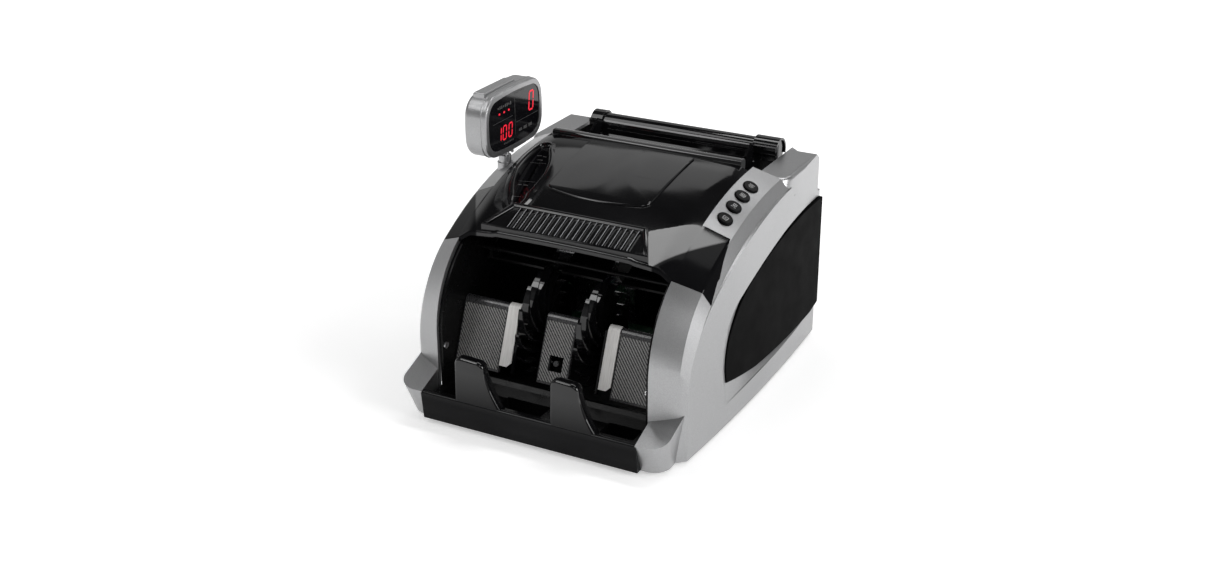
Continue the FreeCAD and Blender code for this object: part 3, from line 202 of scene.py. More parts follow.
def ribbed_black_painted_light():
    """Satin black of the back plates with painted light: the rib tops painted grey as a painted highlight,
    the grooves between painted near black as painted shade.
    """
    m = Maker("plate_black_painted_light", (0.13, 0.13, 0.137), 0.27, specular=0.9)
    start, end = [PLATE_LEVEL + rise for rise in RIB_HIGHLIGHT_RISE]
    rib_highlight_mask = m.spread(m.along(PLATE_OUT), 0.0, 1.0, start, end)
    # painted light: near black in the grooves as painted shade, pale grey on the rib tops as a painted
    # highlight
    m.colours(rib_highlight_mask, (0.035, 0.035, 0.037), (0.30, 0.295, 0.29), 0.0, 1.0)
    m.roughness(m.noise(900, 2.0), 0.24, 0.32)
    return m.bump((m.noise(1200, 2.0), 0.12, 0.05)).mat


def smoked_window(name="smoked_window", specular=0.5):
    """Smooth dark window with a faint haze."""
    m = Maker(name, (0.004, 0.004, 0.005), 0.06, specular=specular)
    haze = m.noise(18, 4.0)
    m.colours(haze, (0.003, 0.003, 0.004), (0.006, 0.006, 0.007))
    return m.roughness(haze, 0.04, 0.10).mat


def painted_steel():
    """Powder-coated frame steel."""
    m = Maker("painted_steel", (0.012, 0.012, 0.013), 0.38)
    m.colours(m.noise(24, 4.0), (0.008, 0.008, 0.009), (0.016, 0.016, 0.017))
    return m.roughness(m.noise(40, 3.0), 0.3, 0.46).bump((m.noise(700, 3.0), 0.15, 0.08)).mat


def bright_steel():
    """Ground steel with fine turning marks across the shaft."""
    m = Maker("bright_steel", (0.55, 0.55, 0.56), 0.3, metal=1.0)
    marks = m.noise(300, 2.0, (12, 1, 1))
    m.colours(marks, (0.46, 0.46, 0.47), (0.62, 0.62, 0.63))
    return m.roughness(marks, 0.2, 0.36).bump((marks, 0.08, 0.05)).mat


def rubber():
    """Roller rubber, dusty and slightly open in texture."""
    m = Maker("rubber", (0.018, 0.018, 0.018), 0.7, specular=0.35)
    m.colours(m.noise(60, 5.0), (0.012, 0.012, 0.012), (0.028, 0.027, 0.026))
    return m.roughness(m.noise(120, 3.0), 0.6, 0.82).bump((m.noise(1400, 3.0), 0.3, 0.1)).mat


def strip_painted_reflection():
    """Note-guide strips, their pale tone a painted reflection of the front light, lightly streaked by the
    notes.
    """
    m = Maker("strip_painted_reflection", (0.86, 0.84, 0.82), 0.32)
    streaks = m.noise(260, 3.0, (4, 0.25, 0.25))
    # pale tone of the strips: a painted reflection of the front light
    m.colours(streaks, (0.78, 0.76, 0.74), (0.92, 0.905, 0.885))
    return m.roughness(streaks, 0.24, 0.42).bump((streaks, 0.08, 0.05)).mat


def circuit_board():
    """Green board with faint tracks."""
    m = Maker("circuit_board", (0.01, 0.07, 0.025), 0.45)
    tracks = m.noise(420, 1.0, (1, 3, 1))
    m.colours(tracks, (0.006, 0.05, 0.018), (0.02, 0.11, 0.04), 0.48, 0.52)
    return m.roughness(m.noise(50, 3.0), 0.36, 0.55).bump((tracks, 0.2, 0.05)).mat


def glow(name, colour, strength):
    """Lit display segment: coloured, with a little unevenness."""
    m = Maker(name, shade(colour, 0.4), 0.4)
    m.put("Emission Strength", strength)
    ramp = m.node("ValToRGB")
    ramp.color_ramp.elements[0].color = (*shade(colour, 0.85), 1)
    ramp.color_ramp.elements[1].color = (*colour, 1)
    m.link(m.noise(900, 2.0), ramp.inputs["Fac"])
    m.link(ramp.outputs["Color"], m.shader.inputs["Emission Color"])
    return m.mat


def printed(name, level):
    """Thin pad-printed ink."""
    m = Maker(name, (level, level, level), 0.5)
    ink = m.noise(1800, 2.0)
    m.colours(ink, (level * 0.8,) * 3, (level * 1.1,) * 3)
    return m.roughness(ink, 0.42, 0.6).mat


SILVER = silver_paint()
GLOSS = gloss_black("gloss_black").mat
COVER_GLOSS = cover_gloss().mat
LIP_GLOSS = lip_gloss().mat
SATIN = satin_black()
# light grey satin for the strips along the grille slat tops: a painted highlight
SLAT_PAINTED_HIGHLIGHT = satin_black("slat_top_painted_highlight", 0.26, 0.25, 0.35, 1500, 0.5)
PANEL = satin_black("panel_black", 0.002, 0.42, 0.52, 1300, 0.01)
# the bay parts' own black, made darker than their frame finish as painted shade for the deep note bay
BAY_PAINTED_SHADE = satin_black("bay_black_painted_shade", 0.003, 0.20, 0.30, 1200, 0.14)
BACK_PLATE_PAINTED_LIGHT = ribbed_black_painted_light()
KEY_BLACK = satin_black("key_black", 0.003, 0.14, 0.20, 1500, 0.05)
WINDOW = smoked_window()
HEAD_GLASS = smoked_window("head_glass", 0.45)
POD_GLASS = smoked_window("pod_glass", 0.12)
PAINTED = painted_steel()
STEEL = bright_steel()
RUBBER = rubber()
STRIP_PAINTED_REFLECTION = strip_painted_reflection()
BOARD = circuit_board()
INK = printed("white_ink", 0.42)
GREY_INK = printed("grey_ink", 0.055)
LINE_INK = printed("divider_ink", 0.03)
RED = glow("red_segments", (0.86, 0.012, 0.035), 1.0)

FINISH = {
    "silver_paint": SILVER, "gloss_black": GLOSS, "satin_black": SATIN, "smoked_window": WINDOW,
    "frame_steel": PAINTED, "bright_steel": STEEL, "roller_rubber": RUBBER, "wear_strip": STRIP_PAINTED_REFLECTION,
    "board": BOARD,
}
SLOT_OF = {s["node"]: s["material_slot"] for s in frame["record"]["subparts"]}


# ---------------------------------------------------------------- mesh helpers
WELD = 2e-6                                 # CAD vertices closer than this are one, m
FLAT_ANGLE = 0.6                            # facets that meet flatter than this are merged, degrees
ROUND_ANGLE, ROUND_SEGMENTS = 24.0, 2       # edges that turn more than this are rounded
CRISP_ANGLE = 62                            # and edges that turn more than this are shaded crisp
FACE_WEIGHT = 80                            # how much large faces rule the shading of small ones


def finish_mesh(bm, name, sharp=38.0):
    """Ends a bmesh: outward normals, smooth faces, edges sharper than an angle kept crisp."""
    bmesh.ops.recalc_face_normals(bm, faces=bm.faces)
    limit = math.radians(sharp)
    for f in bm.faces:
        f.smooth = True
    for e in bm.edges:
        e.smooth = len(e.link_faces) == 2 and e.calc_face_angle(0.0) < limit
    mesh = bpy.data.meshes.new(name)
    bm.to_mesh(mesh)
    bm.free()
    return mesh


def piece_from(bm, name, material, node, sharp=38.0):
    """Ends a bmesh as a piece in a given material that rides with a CAD node's body."""
    mesh = finish_mesh(bm, name, sharp)
    mesh.materials.append(material)
    piece = bpy.data.objects.new(name, mesh)
    bpy.context.scene.collection.objects.link(piece)
    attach(piece, BODY_OF[node])
    return piece


def welded_copy(node):
    """A CAD node's mesh with its doubled vertices joined, as a bmesh."""
    bm = bmesh.new()
    bm.from_mesh(NODES[node].data)
    bmesh.ops.remove_doubles(bm, verts=bm.verts, dist=WELD)
    return bm


def add_band(bm, lower, upper):
    """Faces between two closed rows of vertices."""
    count = len(lower)
    for k in range(count):
        j = (k + 1) % count
        bm.faces.new((lower[k], lower[j], upper[j], upper[k]))


def add_solid(bm, low, high):
    """Adds the closed solid between two loops of 3-D points in millimetres."""
    bottom, top = [[bm.verts.new(Vector(p) * MM) for p in loop] for loop in (low, high)]
    add_band(bm, bottom, top)
    bm.faces.new(bottom[::-1])
    bm.faces.new(top)


def add_prism(bm, section, along, origin, u, v):
    """Adds a closed prism: a 2-D section in the (u, v) plane at origin, drawn along a vector; millimetres."""
    low = [origin + u * a + v * b for a, b in section]
    add_solid(bm, low, [p + along for p in low])


def loft(name, loops, material, node, around=False, capped=False, sharp=38.0):
    """A piece skinned over loops of 3-D points in millimetres; around closes it back to the first loop."""
    bm = bmesh.new()
    rows = [[bm.verts.new(Vector(p) * MM) for p in loop] for loop in loops]
    for lower, upper in list(zip(rows, rows[1:])) + ([(rows[-1], rows[0])] if around else []):
        add_band(bm, lower, upper)
    if capped:
        bm.faces.new(rows[0])
        bm.faces.new(rows[-1])
    return piece_from(bm, name, material, node, sharp)


def refined(node, width, material):
    """A copy of a CAD node with rounded edges, which stands for the node."""
    bm = welded_copy(node)
    bmesh.ops.dissolve_limit(bm, angle_limit=math.radians(FLAT_ANGLE), verts=bm.verts, edges=bm.edges)
    piece = piece_from(bm, node + "_shell", material, node, CRISP_ANGLE)
    bevel = piece.modifiers.new("edges", "BEVEL")
    bevel.width = width * MM
    bevel.segments = ROUND_SEGMENTS
    bevel.limit_method = "ANGLE"
    bevel.angle_limit = math.radians(ROUND_ANGLE)
    bevel.miter_outer = "MITER_ARC"
    bevel.use_clamp_overlap = True
    weighted = piece.modifiers.new("shading", "WEIGHTED_NORMAL")
    weighted.keep_sharp = True
    weighted.weight = FACE_WEIGHT
    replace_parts(piece, node)


# ---------------------------------------------------------------- carried-over CAD nodes
OWN_FINISH = {
    "side_frame_left": BAY_PAINTED_SHADE, "side_frame_right": BAY_PAINTED_SHADE, "bay_floor": BAY_PAINTED_SHADE, "upper_guide": BAY_PAINTED_SHADE,
    "back_plate_left": BACK_PLATE_PAINTED_LIGHT, "back_plate_centre": BACK_PLATE_PAINTED_LIGHT, "back_plate_right": BACK_PLATE_PAINTED_LIGHT,
    "stacker_wheel_left": GLOSS, "stacker_wheel_right": GLOSS, "head_window": HEAD_GLASS,
    "button_1": KEY_BLACK, "button_2": KEY_BLACK, "button_3": KEY_BLACK, "button_4": KEY_BLACK,
}
for node_name, node_object in NODES.items():
    node_object.data.materials.clear()
    node_object.data.materials.append(OWN_FINISH.get(node_name, FINISH[SLOT_OF[node_name]]))

RAIL_MOST = 4.0                             # a solid narrower than this is a rail, not a strip


def split_strips():
    """The strips, painted pale as a painted reflection, and, in gloss black, the thin rails beside them."""
    whole = welded_copy("wear_strips")
    left = set(whole.faces)
    thin, wide = bmesh.new(), bmesh.new()
    while left:
        group, queue = set(), [left.pop()]
        while queue:
            face = queue.pop()
            group.add(face)
            for edge in face.edges:
                for near in edge.link_faces:
                    if near in left:
                        left.discard(near)
                        queue.append(near)
        xs = [v.co.x for f in group for v in f.verts]
        target = thin if max(xs) - min(xs) < RAIL_MOST * MM else wide
        copies = {}
        for face in group:
            for v in face.verts:
                if v not in copies:
                    copies[v] = target.verts.new(v.co)
            target.faces.new([copies[v] for v in face.verts])
    whole.free()
    for name, bm, material in (("strips", wide, STRIP_PAINTED_REFLECTION), ("strip_rails", thin, GLOSS)):
        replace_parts(piece_from(bm, name, material, "wear_strips", 30), "wear_strips")


split_strips()

EDGES = (
    ("side_shell_left", 1.8, SILVER), ("side_shell_right", 1.8, SILVER), ("head_case", 0.3, SILVER),
    ("lid_panel", 1.3, GLOSS), ("side_panel_left", 0.6, PANEL), ("side_panel_right", 0.6, PANEL),
    ("hopper_tray", 0.5, GLOSS), ("note_guide_left", 0.4, GLOSS), ("note_guide_right", 0.4, GLOSS),
)
for node_name, rounding, material in EDGES:
    refined(node_name, rounding, material)


# ---------------------------------------------------------------- outlines and surfaces
def circle_through(a, b, c):
    """Centre and radius of the circle through three points."""
    (ax, ay), (bx, by), (cx, cy) = a, b, c
    d = 2 * (ax * (by - cy) + bx * (cy - ay) + cx * (ay - by))
    qa, qb, qc = ax * ax + ay * ay, bx * bx + by * by, cx * cx + cy * cy
    ux = (qa * (by - cy) + qb * (cy - ay) + qc * (ay - by)) / d
    uy = (qa * (cx - bx) + qb * (ax - cx) + qc * (bx - ax)) / d
    return ux, uy, math.hypot(ax - ux, ay - uy)


def arc_points(a, via, b, count):
    """The points after a on the circular arc through via to b."""
    ux, uy, r = circle_through(a, via, b)
    start, at_via, end = [math.atan2(y - uy, x - ux) for x, y in (a, via, b)]
    sweep = (end - start) % math.tau
    if (at_via - start) % math.tau > sweep:
        sweep -= math.tau
    return [(ux + r * math.cos(start + sweep * k / count), uy + r * math.sin(start + sweep * k / count))
            for k in range(1, count + 1)]


def steps(a, b, count):
    """Evenly spaced values from a to b, both included."""
    return [a + (b - a) * k / count for k in range(count + 1)]


def rectangle(w, h, x=0.0, y=0.0):
    """Corners of a rectangle about a centre."""
    return [(x - w / 2, y - h / 2), (x + w / 2, y - h / 2), (x + w / 2, y + h / 2), (x - w / 2, y + h / 2)]


def plan_loop(items):
    """A counter-clockwise closed loop in millimetres from points and (via, end, count) arcs."""
    points = [items[0]]
    for item in items[1:]:
        if len(item) == 3:
            points += arc_points(points[-1], *item)
        else:
            points.append(item)
    if math.dist(points[0], points[-1]) < 1e-6:
        points.pop()
    area = sum(a[0] * b[1] - b[0] * a[1] for a, b in zip(points, points[1:] + points[:1]))
    return points if area > 0 else points[::-1]


SHARPEST = 0.45                             # keeps sharp corners of an inset loop from running away


def inset(points, amount):
    """The loop moved inwards by an amount in millimetres; a list gives one amount per point."""
    amounts = amount if isinstance(amount, list) else [amount] * len(points)
    moved = []
    for k, (x, y) in enumerate(points):
        before, after = points[k - 1], points[(k + 1) % len(points)]
        n1 = Vector((before[1] - y, x - before[0])).normalized()
        n2 = Vector((y - after[1], after[0] - x)).normalized()
        n = (n1 + n2).normalized()
        reach = amounts[k] / max(SHARPEST, n.dot(n1))
        moved.append((x + n.x * reach, y + n.y * reach))
    return moved


COVER_HALF, CAP_BEND, CAP_END = 91.0, 111.0, 117.4      # half widths: crown, caps' bend, caps' edge
COVER_FRONT, COVER_RIDGE = -86.9, 49.0                  # front edge and rear ridge
COVER_LINE = [                                          # (y, height in the middle, height at the long edges)
    (-87, 146.2, 138.5), (-60, 156.8, 150.2), (-30, 166.3, 161.2), (0, 173.2, 169.6), (30, 178.6, 174.5),
    (52, 181.0, 176.0),
]
FLAT_HALF, CROWN = 76.0, 1.4                            # half width of the gentle crown, and its fall
FACET_X, FACET_Y, FACET_RUN, FACET_FALL = 61.0, -58.0, 0.66, 0.425    # front facets' upper edge and slope
FACET_INNER, FACET_LIFT = 60.5, 0.3                     # inside this half width it climbs over the crown
SHELL_ARC = circle_through((-86, 135.5), (-20, 164.5), (50, 176))       # side profile of the shells, (y, z)
STRIP_WIDE, STRIP_BACK, STRIP_DROP = 20.5, 9.0, 9.5     # the keypad strip, from its inner to its outer edge
CHAMFER_WIDE, CHAMFER_BACK, CHAMFER_DROP = 6.0, 6.0, 8.0
CAP_PROUD, COVER_PROUD, SEAM_SOFT = 0.25, 0.08, 0.2     # how far caps and cover stand proud; soft seams


def between(stations, y, column):
    """Smooth value of a column of (y, ...) stations, by a cubic through its neighbours."""
    last = len(stations) - 1
    k = min(last - 1, sum(1 for station in stations[1:-1] if station[0] <= y))

    def slope(j):
        low, high = stations[max(0, j - 1)], stations[min(last, j + 1)]
        return (high[column] - low[column]) / (high[0] - low[0])
    (y0, v0), (y1, v1) = [(stations[j][0], stations[j][column]) for j in (k, k + 1)]
    t, h = (y - y0) / (y1 - y0), y1 - y0
    m0, m1 = slope(k) * h, slope(k + 1) * h
    if t < 0:
        return v0 + m0 * t
    if t > 1:
        return v1 + m1 * (t - 1)
    start = (2 * t ** 3 - 3 * t ** 2 + 1) * v0 + (t ** 3 - 2 * t ** 2 + t) * m0
    return start + (3 * t ** 2 - 2 * t ** 3) * v1 + (t ** 3 - t ** 2) * m1


def crown_z(x, y):
    """The cover's crowned top, rounding off towards its long edges."""
    mid, edge = between(COVER_LINE, y, 1), between(COVER_LINE, y, 2)
    x = abs(x)
    if x < FLAT_HALF:
        return mid - CROWN * (x / FLAT_HALF) ** 2
    t = (x - FLAT_HALF) / (COVER_HALF - FLAT_HALF)
    drop = mid - CROWN - edge
    start = 2 * CROWN / FLAT_HALF * (COVER_HALF - FLAT_HALF)
    return mid - CROWN - start * t - (drop - start) * t * t


def profile_z(y):
    """Height of the shells' side profile."""
    middle, base, radius = SHELL_ARC
    return base + math.sqrt(max(1.0, radius * radius - (y - middle) ** 2))


def shell_z(x, y):
    """The shells' outer surface beside the cover: the keypad strip's plane, then the chamfer."""
    x = abs(x)
    across = (x - COVER_HALF) / STRIP_WIDE
    if across <= 1.0:
        return profile_z(y - STRIP_BACK * across) - STRIP_DROP * across
    out = (x - COVER_HALF - STRIP_WIDE) / CHAMFER_WIDE
    return profile_z(y - STRIP_BACK - CHAMFER_BACK * out) - STRIP_DROP - CHAMFER_DROP * out


def smooth_least(values, soft):
    """The least of some heights, rounded where two of them meet."""
    low = min(values)
    return low - soft * math.log(sum(math.exp((low - v) / soft) for v in values))


def cover_z(x, y):
    """Height of the whole black cover: crown, flat front facets and the corner caps."""
    outer = shell_z(x, y) + CAP_PROUD
    if abs(x) > COVER_HALF:
        return outer
    heights = [crown_z(x, y), outer]
    line = FACET_Y + FACET_RUN * (abs(x) - FACET_X)
    if y < line:
        climb = FACET_LIFT * max(0.0, FACET_INNER - abs(x))
        heights.append(crown_z(x, line) - FACET_FALL * (line - y) + climb)
    return smooth_least(heights, SEAM_SOFT) + COVER_PROUD


def inside(loop, x, y):
    """Whether a point lies inside a closed loop."""
    odd = False
    for (x0, y0), (x1, y1) in zip(loop, loop[1:] + loop[:1]):
        if (y0 > y) != (y1 > y) and x < x0 + (y - y0) * (x1 - x0) / (y1 - y0):
            odd = not odd
    return odd


def skirt(bm, edge, offsets):
    """Turns an open edge down: rows of vertices at offsets in millimetres from the edge's own."""
    above = edge
    for offset in offsets:
        below = [bm.verts.new(v.co + Vector(offset) * MM) for v in edge]
        for k in range(len(edge) - 1):
            bm.faces.new((above[k], above[k + 1], below[k + 1], below[k]))
        above = below


# ---------------------------------------------------------------- cover and built-in display
POD = plan_loop([(-57, -66), ((-51.5, -60), (-51, -42), 10), ((-56, -4), (-70, 24), 20),
                 ((-78, 33), (-87, 29), 10), ((-86, -12), (-72, -50), 22), ((-66, -61), (-57, -66), 8)])
POD_FRONT, POD_REAR_LEFT, POD_REAR_RIGHT = (-62, -54), (-83, 22), (-70, 18)
PANE_DEPTH, PANE_THICK, PANE_INSET = 2.6, 1.2, 4.8
POD_OPENING = 2.0                                       # inset of the cover's opening under the bezel
POD_RIM = [                                             # (inset, height over the cover)
    (-0.7, 0.02), (-0.2, 0.22), (0.5, 0.5), (1.3, 0.72), (2.2, 0.74), (3.0, 0.45), (3.7, -0.1), (4.2, -0.75),
    (4.6, -1.5),
]
POD_DISH = [(4.75, 0.25), (4.85, -0.4), (4.0, -1.4)]    # (inset, height over the pane)
POD_FOOT = (0.3, -1.6)                                  # the same, over the cover, for the foot
POD_WIDER, POD_WIDE_FROM, POD_WIDE_OVER = 0.7, -12, 40  # how much the rim widens towards its front, and where
INK_THICK = 0.06
PANE_MARKS = (                                          # (x, y, width, height)
    (-73.5, 4.5, 15, 0.35), (-68.5, -22, 15, 0.35), (-66, -43, 9, 0.35), (-78, 15, 4.2, 1.1),
    (-72.5, 14.0, 3.4, 1.1), (-74, 9.0, 5, 1.0), (-66.5, -27, 4, 1.0), (-72, -27, 3.6, 1.0),
)
GRID_ACROSS, GRID_ALONG, CELL_HALF = 124, 92, 0.75      # the skin's cells, and half the size of one
CAP_ACROSS, CAP_ALONG = 24, 40                          # cells of a corner cap
CAP_FRONT_RUN = 0.462                                   # how a cap's front edge recedes outwards
CAP_REAR, CAP_REAR_RUN = -35.0, 0.34                    # its rear edge beside the keypad strip
CAP_BACK, CAP_TAPER = -28.2, -46.0                      # its rear edge on the chamfer, running forwards
FRONT_SKIRT = ((0, -0.7, -0.25), (0, -1.0, -0.8), (0, -1.0, -4.0), (0, 1.5, -4.6))
CAP_FRONT_SKIRT, CAP_REAR_SKIRT = ((0, -0.5, -0.3), (0, -0.6, -3.0)), ((0, 0.25, -0.25), (0, 0.3, -3.0))
RIDGE_HALF = 84.8
RIDGE = [
    (48.2, 179.4), (48.6, 181.6), (49.6, 182.8), (51.2, 183.0), (54.6, 183.0), (56.0, 182.6), (57.0, 181.2),
    (57.2, 178.0), (56.0, 170.0), (52.6, 151.0), (49.6, 151.0), (48.2, 176.0),
]


def pane_z():
    """Plane of the sunken pane, as a function of (x, y)."""
    corners = (POD_FRONT, POD_REAR_LEFT, POD_REAR_RIGHT)
    a, b, c = [Vector((x, y, cover_z(x, y) - PANE_DEPTH)) for x, y in corners]
    n = (b - a).cross(c - a)
    return lambda x, y: a.z - (n.x * (x - a.x) + n.y * (y - a.y)) / n.z


def cap_ends(x):
    """Front and rear ends of a corner cap at a half width."""
    front = COVER_FRONT + (x - COVER_HALF) * CAP_FRONT_RUN
    if x < CAP_BEND:
        return front, CAP_REAR + (x - COVER_HALF) * CAP_REAR_RUN
    return front, CAP_BACK + (x - CAP_BEND) / (CAP_END - CAP_BEND) * CAP_TAPER


def black_cover():
    """Cover skin with its two corner caps, its opening for the oval window and its raised rear ridge."""
    bm = bmesh.new()
    xs, ys = steps(-COVER_HALF, COVER_HALF, GRID_ACROSS), steps(COVER_FRONT, COVER_RIDGE, GRID_ALONG)
    grid = [[bm.verts.new((x * MM, y * MM, cover_z(x, y) * MM)) for x in xs] for y in ys]
    hole = inset(POD, POD_OPENING)
    for j in range(GRID_ALONG):
        for k in range(GRID_ACROSS):
            if not inside(hole, xs[k] + CELL_HALF, ys[j] + CELL_HALF):
                bm.faces.new((grid[j][k], grid[j][k + 1], grid[j + 1][k + 1], grid[j + 1][k]))
    skirt(bm, grid[0], FRONT_SKIRT)
    for column, side in ((0, -1), (-1, 1)):
        skirt(bm, [row[column] for row in grid], ((side * 0.02, 0, -0.3), (side * 0.05, 0, -3.0)))
    for side in (-1, 1):
        rows = []
        for x in steps(COVER_HALF, CAP_END, CAP_ACROSS):
            along = steps(*cap_ends(x), CAP_ALONG)
            rows.append([bm.verts.new((side * x * MM, y * MM, cover_z(x, y) * MM)) for y in along])
        for a, b in zip(rows, rows[1:]):
            for k in range(CAP_ALONG):
                bm.faces.new((a[k], b[k], b[k + 1], a[k + 1]))
        skirt(bm, [r[0] for r in rows], CAP_FRONT_SKIRT)
        skirt(bm, [r[-1] for r in rows], CAP_REAR_SKIRT)
        skirt(bm, rows[-1], ((side * 0.2, 0, -0.3), (side * 0.2, 0, -3.0)))
    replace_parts(piece_from(bm, "cover_skin", COVER_GLOSS, "top_cover", 50), "top_cover")
    ridge = bmesh.new()
    add_prism(ridge, RIDGE, X * 2 * RIDGE_HALF, -X * RIDGE_HALF, Y, Z)
    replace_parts(piece_from(ridge, "cover_ridge", GLOSS, "top_cover", 30), "top_cover")


def built_in_display():
    """Wide smooth bezel that falls into a dish with the smoked pane at its bottom."""
    floor = pane_z()
    wide = [1.0 + POD_WIDER * max(0.0, min(1.0, (POD_WIDE_FROM - y) / POD_WIDE_OVER)) for x, y in POD]

    def ring(amount):
        return inset(POD, [amount * w for w in wide])
    loops = [[(x, y, cover_z(x, y) + h) for x, y in ring(s)] for s, h in POD_RIM]
    loops += [[(x, y, floor(x, y) + h) for x, y in ring(s)] for s, h in POD_DISH]
    loops.append([(x, y, cover_z(x, y) + POD_FOOT[1]) for x, y in ring(POD_FOOT[0])])
    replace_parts(loft("oval_bezel", loops, GLOSS, "display_bezel", around=True), "display_bezel")
    outline = ring(PANE_INSET)
    loops = [[(x, y, floor(x, y) + lift) for x, y in outline] for lift in (-PANE_THICK, 0.0)]
    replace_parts(loft("oval_pane", loops, POD_GLASS, "display_window", capped=True), "display_window")
    ink = bmesh.new()
    up = Vector((0, 1, floor(0, 1) - floor(0, 0))).normalized()
    side = Vector((1, 0, floor(1, 0) - floor(0, 0))).normalized()
    for x, y, w, h in PANE_MARKS:
        add_prism(ink, rectangle(w, h), Z * INK_THICK, Vector((x, y, floor(x, y))), side, up)
    piece_from(ink, "oval_pane_marks", GREY_INK, "display_window")


built_in_display()
black_cover()


# ---------------------------------------------------------------- front lip
LIP_Y, LIP_LEAN, LIP_TOP, LIP_HALF, LIP_FOOT = -147.0, 3.0, 28.0, 92.8, 4.0
RECESS_PLATE = [(-24, 20), (22, 20), (22, LIP_TOP - 1.5), (-24, LIP_TOP - 1.5)]
RECESS_THICK, RECESS_BACK = 2.5, 6.5
POST_ROUND, POST_THICK, POST_BACK = 2.6, 9.4, 0.7
POSTS = (                                               # name, (left, right, flare of the foot, top)
    ("post_left", (-62.5, -36, 14, 64.0)), ("post_right", (20.4, 45, 14, 65.0)),
)


def post_outline(left, right, flare, top):
    """A stop post seen from the front: rounded head, straight outer edge, long flared foot."""
    return plan_loop([
        (left - 0.4, LIP_TOP - 7), (left + 0.6, top - 6),
        ((left + 2.2, top - 2.0), (left + 7, top), 8), (right - 7, top - 0.6),
        ((right - 1.6, top - 2.6), (right, top - 8), 8),
        ((right + 4.2, LIP_TOP + 16), (right + flare, LIP_TOP - 1), 14), (right + flare, LIP_TOP - 7),
    ])


def pillow(outline, radius, thick, count=6):
    """Loops of a plate standing behind its front face with both rims rounded: (loop, depth) pairs."""
    turns = steps(0.0, math.pi / 2, count)
    pairs = [(radius * (1 - math.sin(t)), radius * (1 - math.cos(t))) for t in turns]
    pairs += [(s, thick - d) for s, d in pairs[::-1]]
    return [(inset(outline, s), d) for s, d in pairs]


def front_lip():
    """Gloss front plate with a rolled top edge and two rounded stop posts."""
    bm = bmesh.new()
    y, top = LIP_Y, LIP_TOP
    section = [(y + LIP_LEAN, LIP_FOOT), (y + 0.25, top - 1.6)]
    section += arc_points((y + 0.25, top - 1.6), (y + 0.8, top - 0.5), (y + 2.1, top), 5)
    section.append((y + 3.4, top))
    section += arc_points((y + 3.4, top), (y + 4.8, top - 0.5), (y + 5.4, top - 1.8), 5)
    section.append((y + 13, LIP_FOOT))
    add_prism(bm, section, X * 2 * LIP_HALF, -X * LIP_HALF, Y, Z)
    add_prism(bm, RECESS_PLATE, Y * RECESS_THICK, Y * (y + RECESS_BACK), X, Z)
    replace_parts(piece_from(bm, "front_lip_plate", LIP_GLOSS, "front_lip", 30), "front_lip")
    for name, shape in POSTS:
        rings = pillow(post_outline(*shape), POST_ROUND, POST_THICK)
        loops = [[(x, y + POST_BACK + depth, z) for x, z in ring] for ring, depth in rings]
        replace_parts(loft(name, loops, LIP_GLOSS, "front_lip", capped=True, sharp=60), "front_lip")


front_lip()


# ---------------------------------------------------------------- grille
GRILLE = plan_loop([(-72, -85.4), (-61, -62), ((-59, -58.6), (-55, -57.8), 5), (53, -57.8),
                    ((57.4, -58.8), (59.5, -62.5), 6), (71, -85.4)])
GRILLE_SLOPE, GRILLE_FRONT, GRILLE_LOW = 0.4, -88, 145.6
RIM_FRONT, FRONT_Y = 0.45, -85                          # the rim is narrower along the front edge
RIM = [                                                 # (inset, height)
    (0.15, -4.0), (0.15, 1.2), (0.35, 1.9), (0.9, 2.35), (1.9, 2.6), (3.2, 2.5), (4.1, 2.1), (4.5, 1.4),
    (4.6, -2.6), (4.7, -4.0),
]
CHEEKS = (                                              # smooth areas at both ends of the slats
    [(-66.8, -83.6), (-51.5, -83.6), (-51.5, -62.2), (-56.3, -62.2)],
    [(54.5, -83.6), (66.2, -83.6), (55.7, -62.2), (54.5, -62.2)],
)
SLOT_INSET, SLOT_UNDER, SLOT_FLOOR, CHEEK_TOP = 4.4, -3.4, -2.6, 0.9
SLAT_COUNT, SLAT_START, SLAT_PITCH, SLAT_FRONT, SLAT_LONG = 21, -50.0, 5.1, -84.2, 24.0
SLAT_SECTION = [
    (-0.62, -3), (-0.62, 0.9), (-0.496, 1.3), (-0.217, 1.55), (0.217, 1.55), (0.496, 1.3), (0.62, 0.9),
    (0.62, -3),
]
# section of the light grey strip on each slat's top, a painted highlight
HIGHLIGHT_STRIP_SECTION = [(-0.4, 1.35), (0.4, 1.35), (0.22, 1.62), (-0.22, 1.62)]


def on_grille(loop, lift):
    """A plan loop laid on the visor's slope at a height over it."""
    return [(x, y, GRILLE_LOW + GRILLE_SLOPE * (y - GRILLE_FRONT) + lift) for x, y in loop]


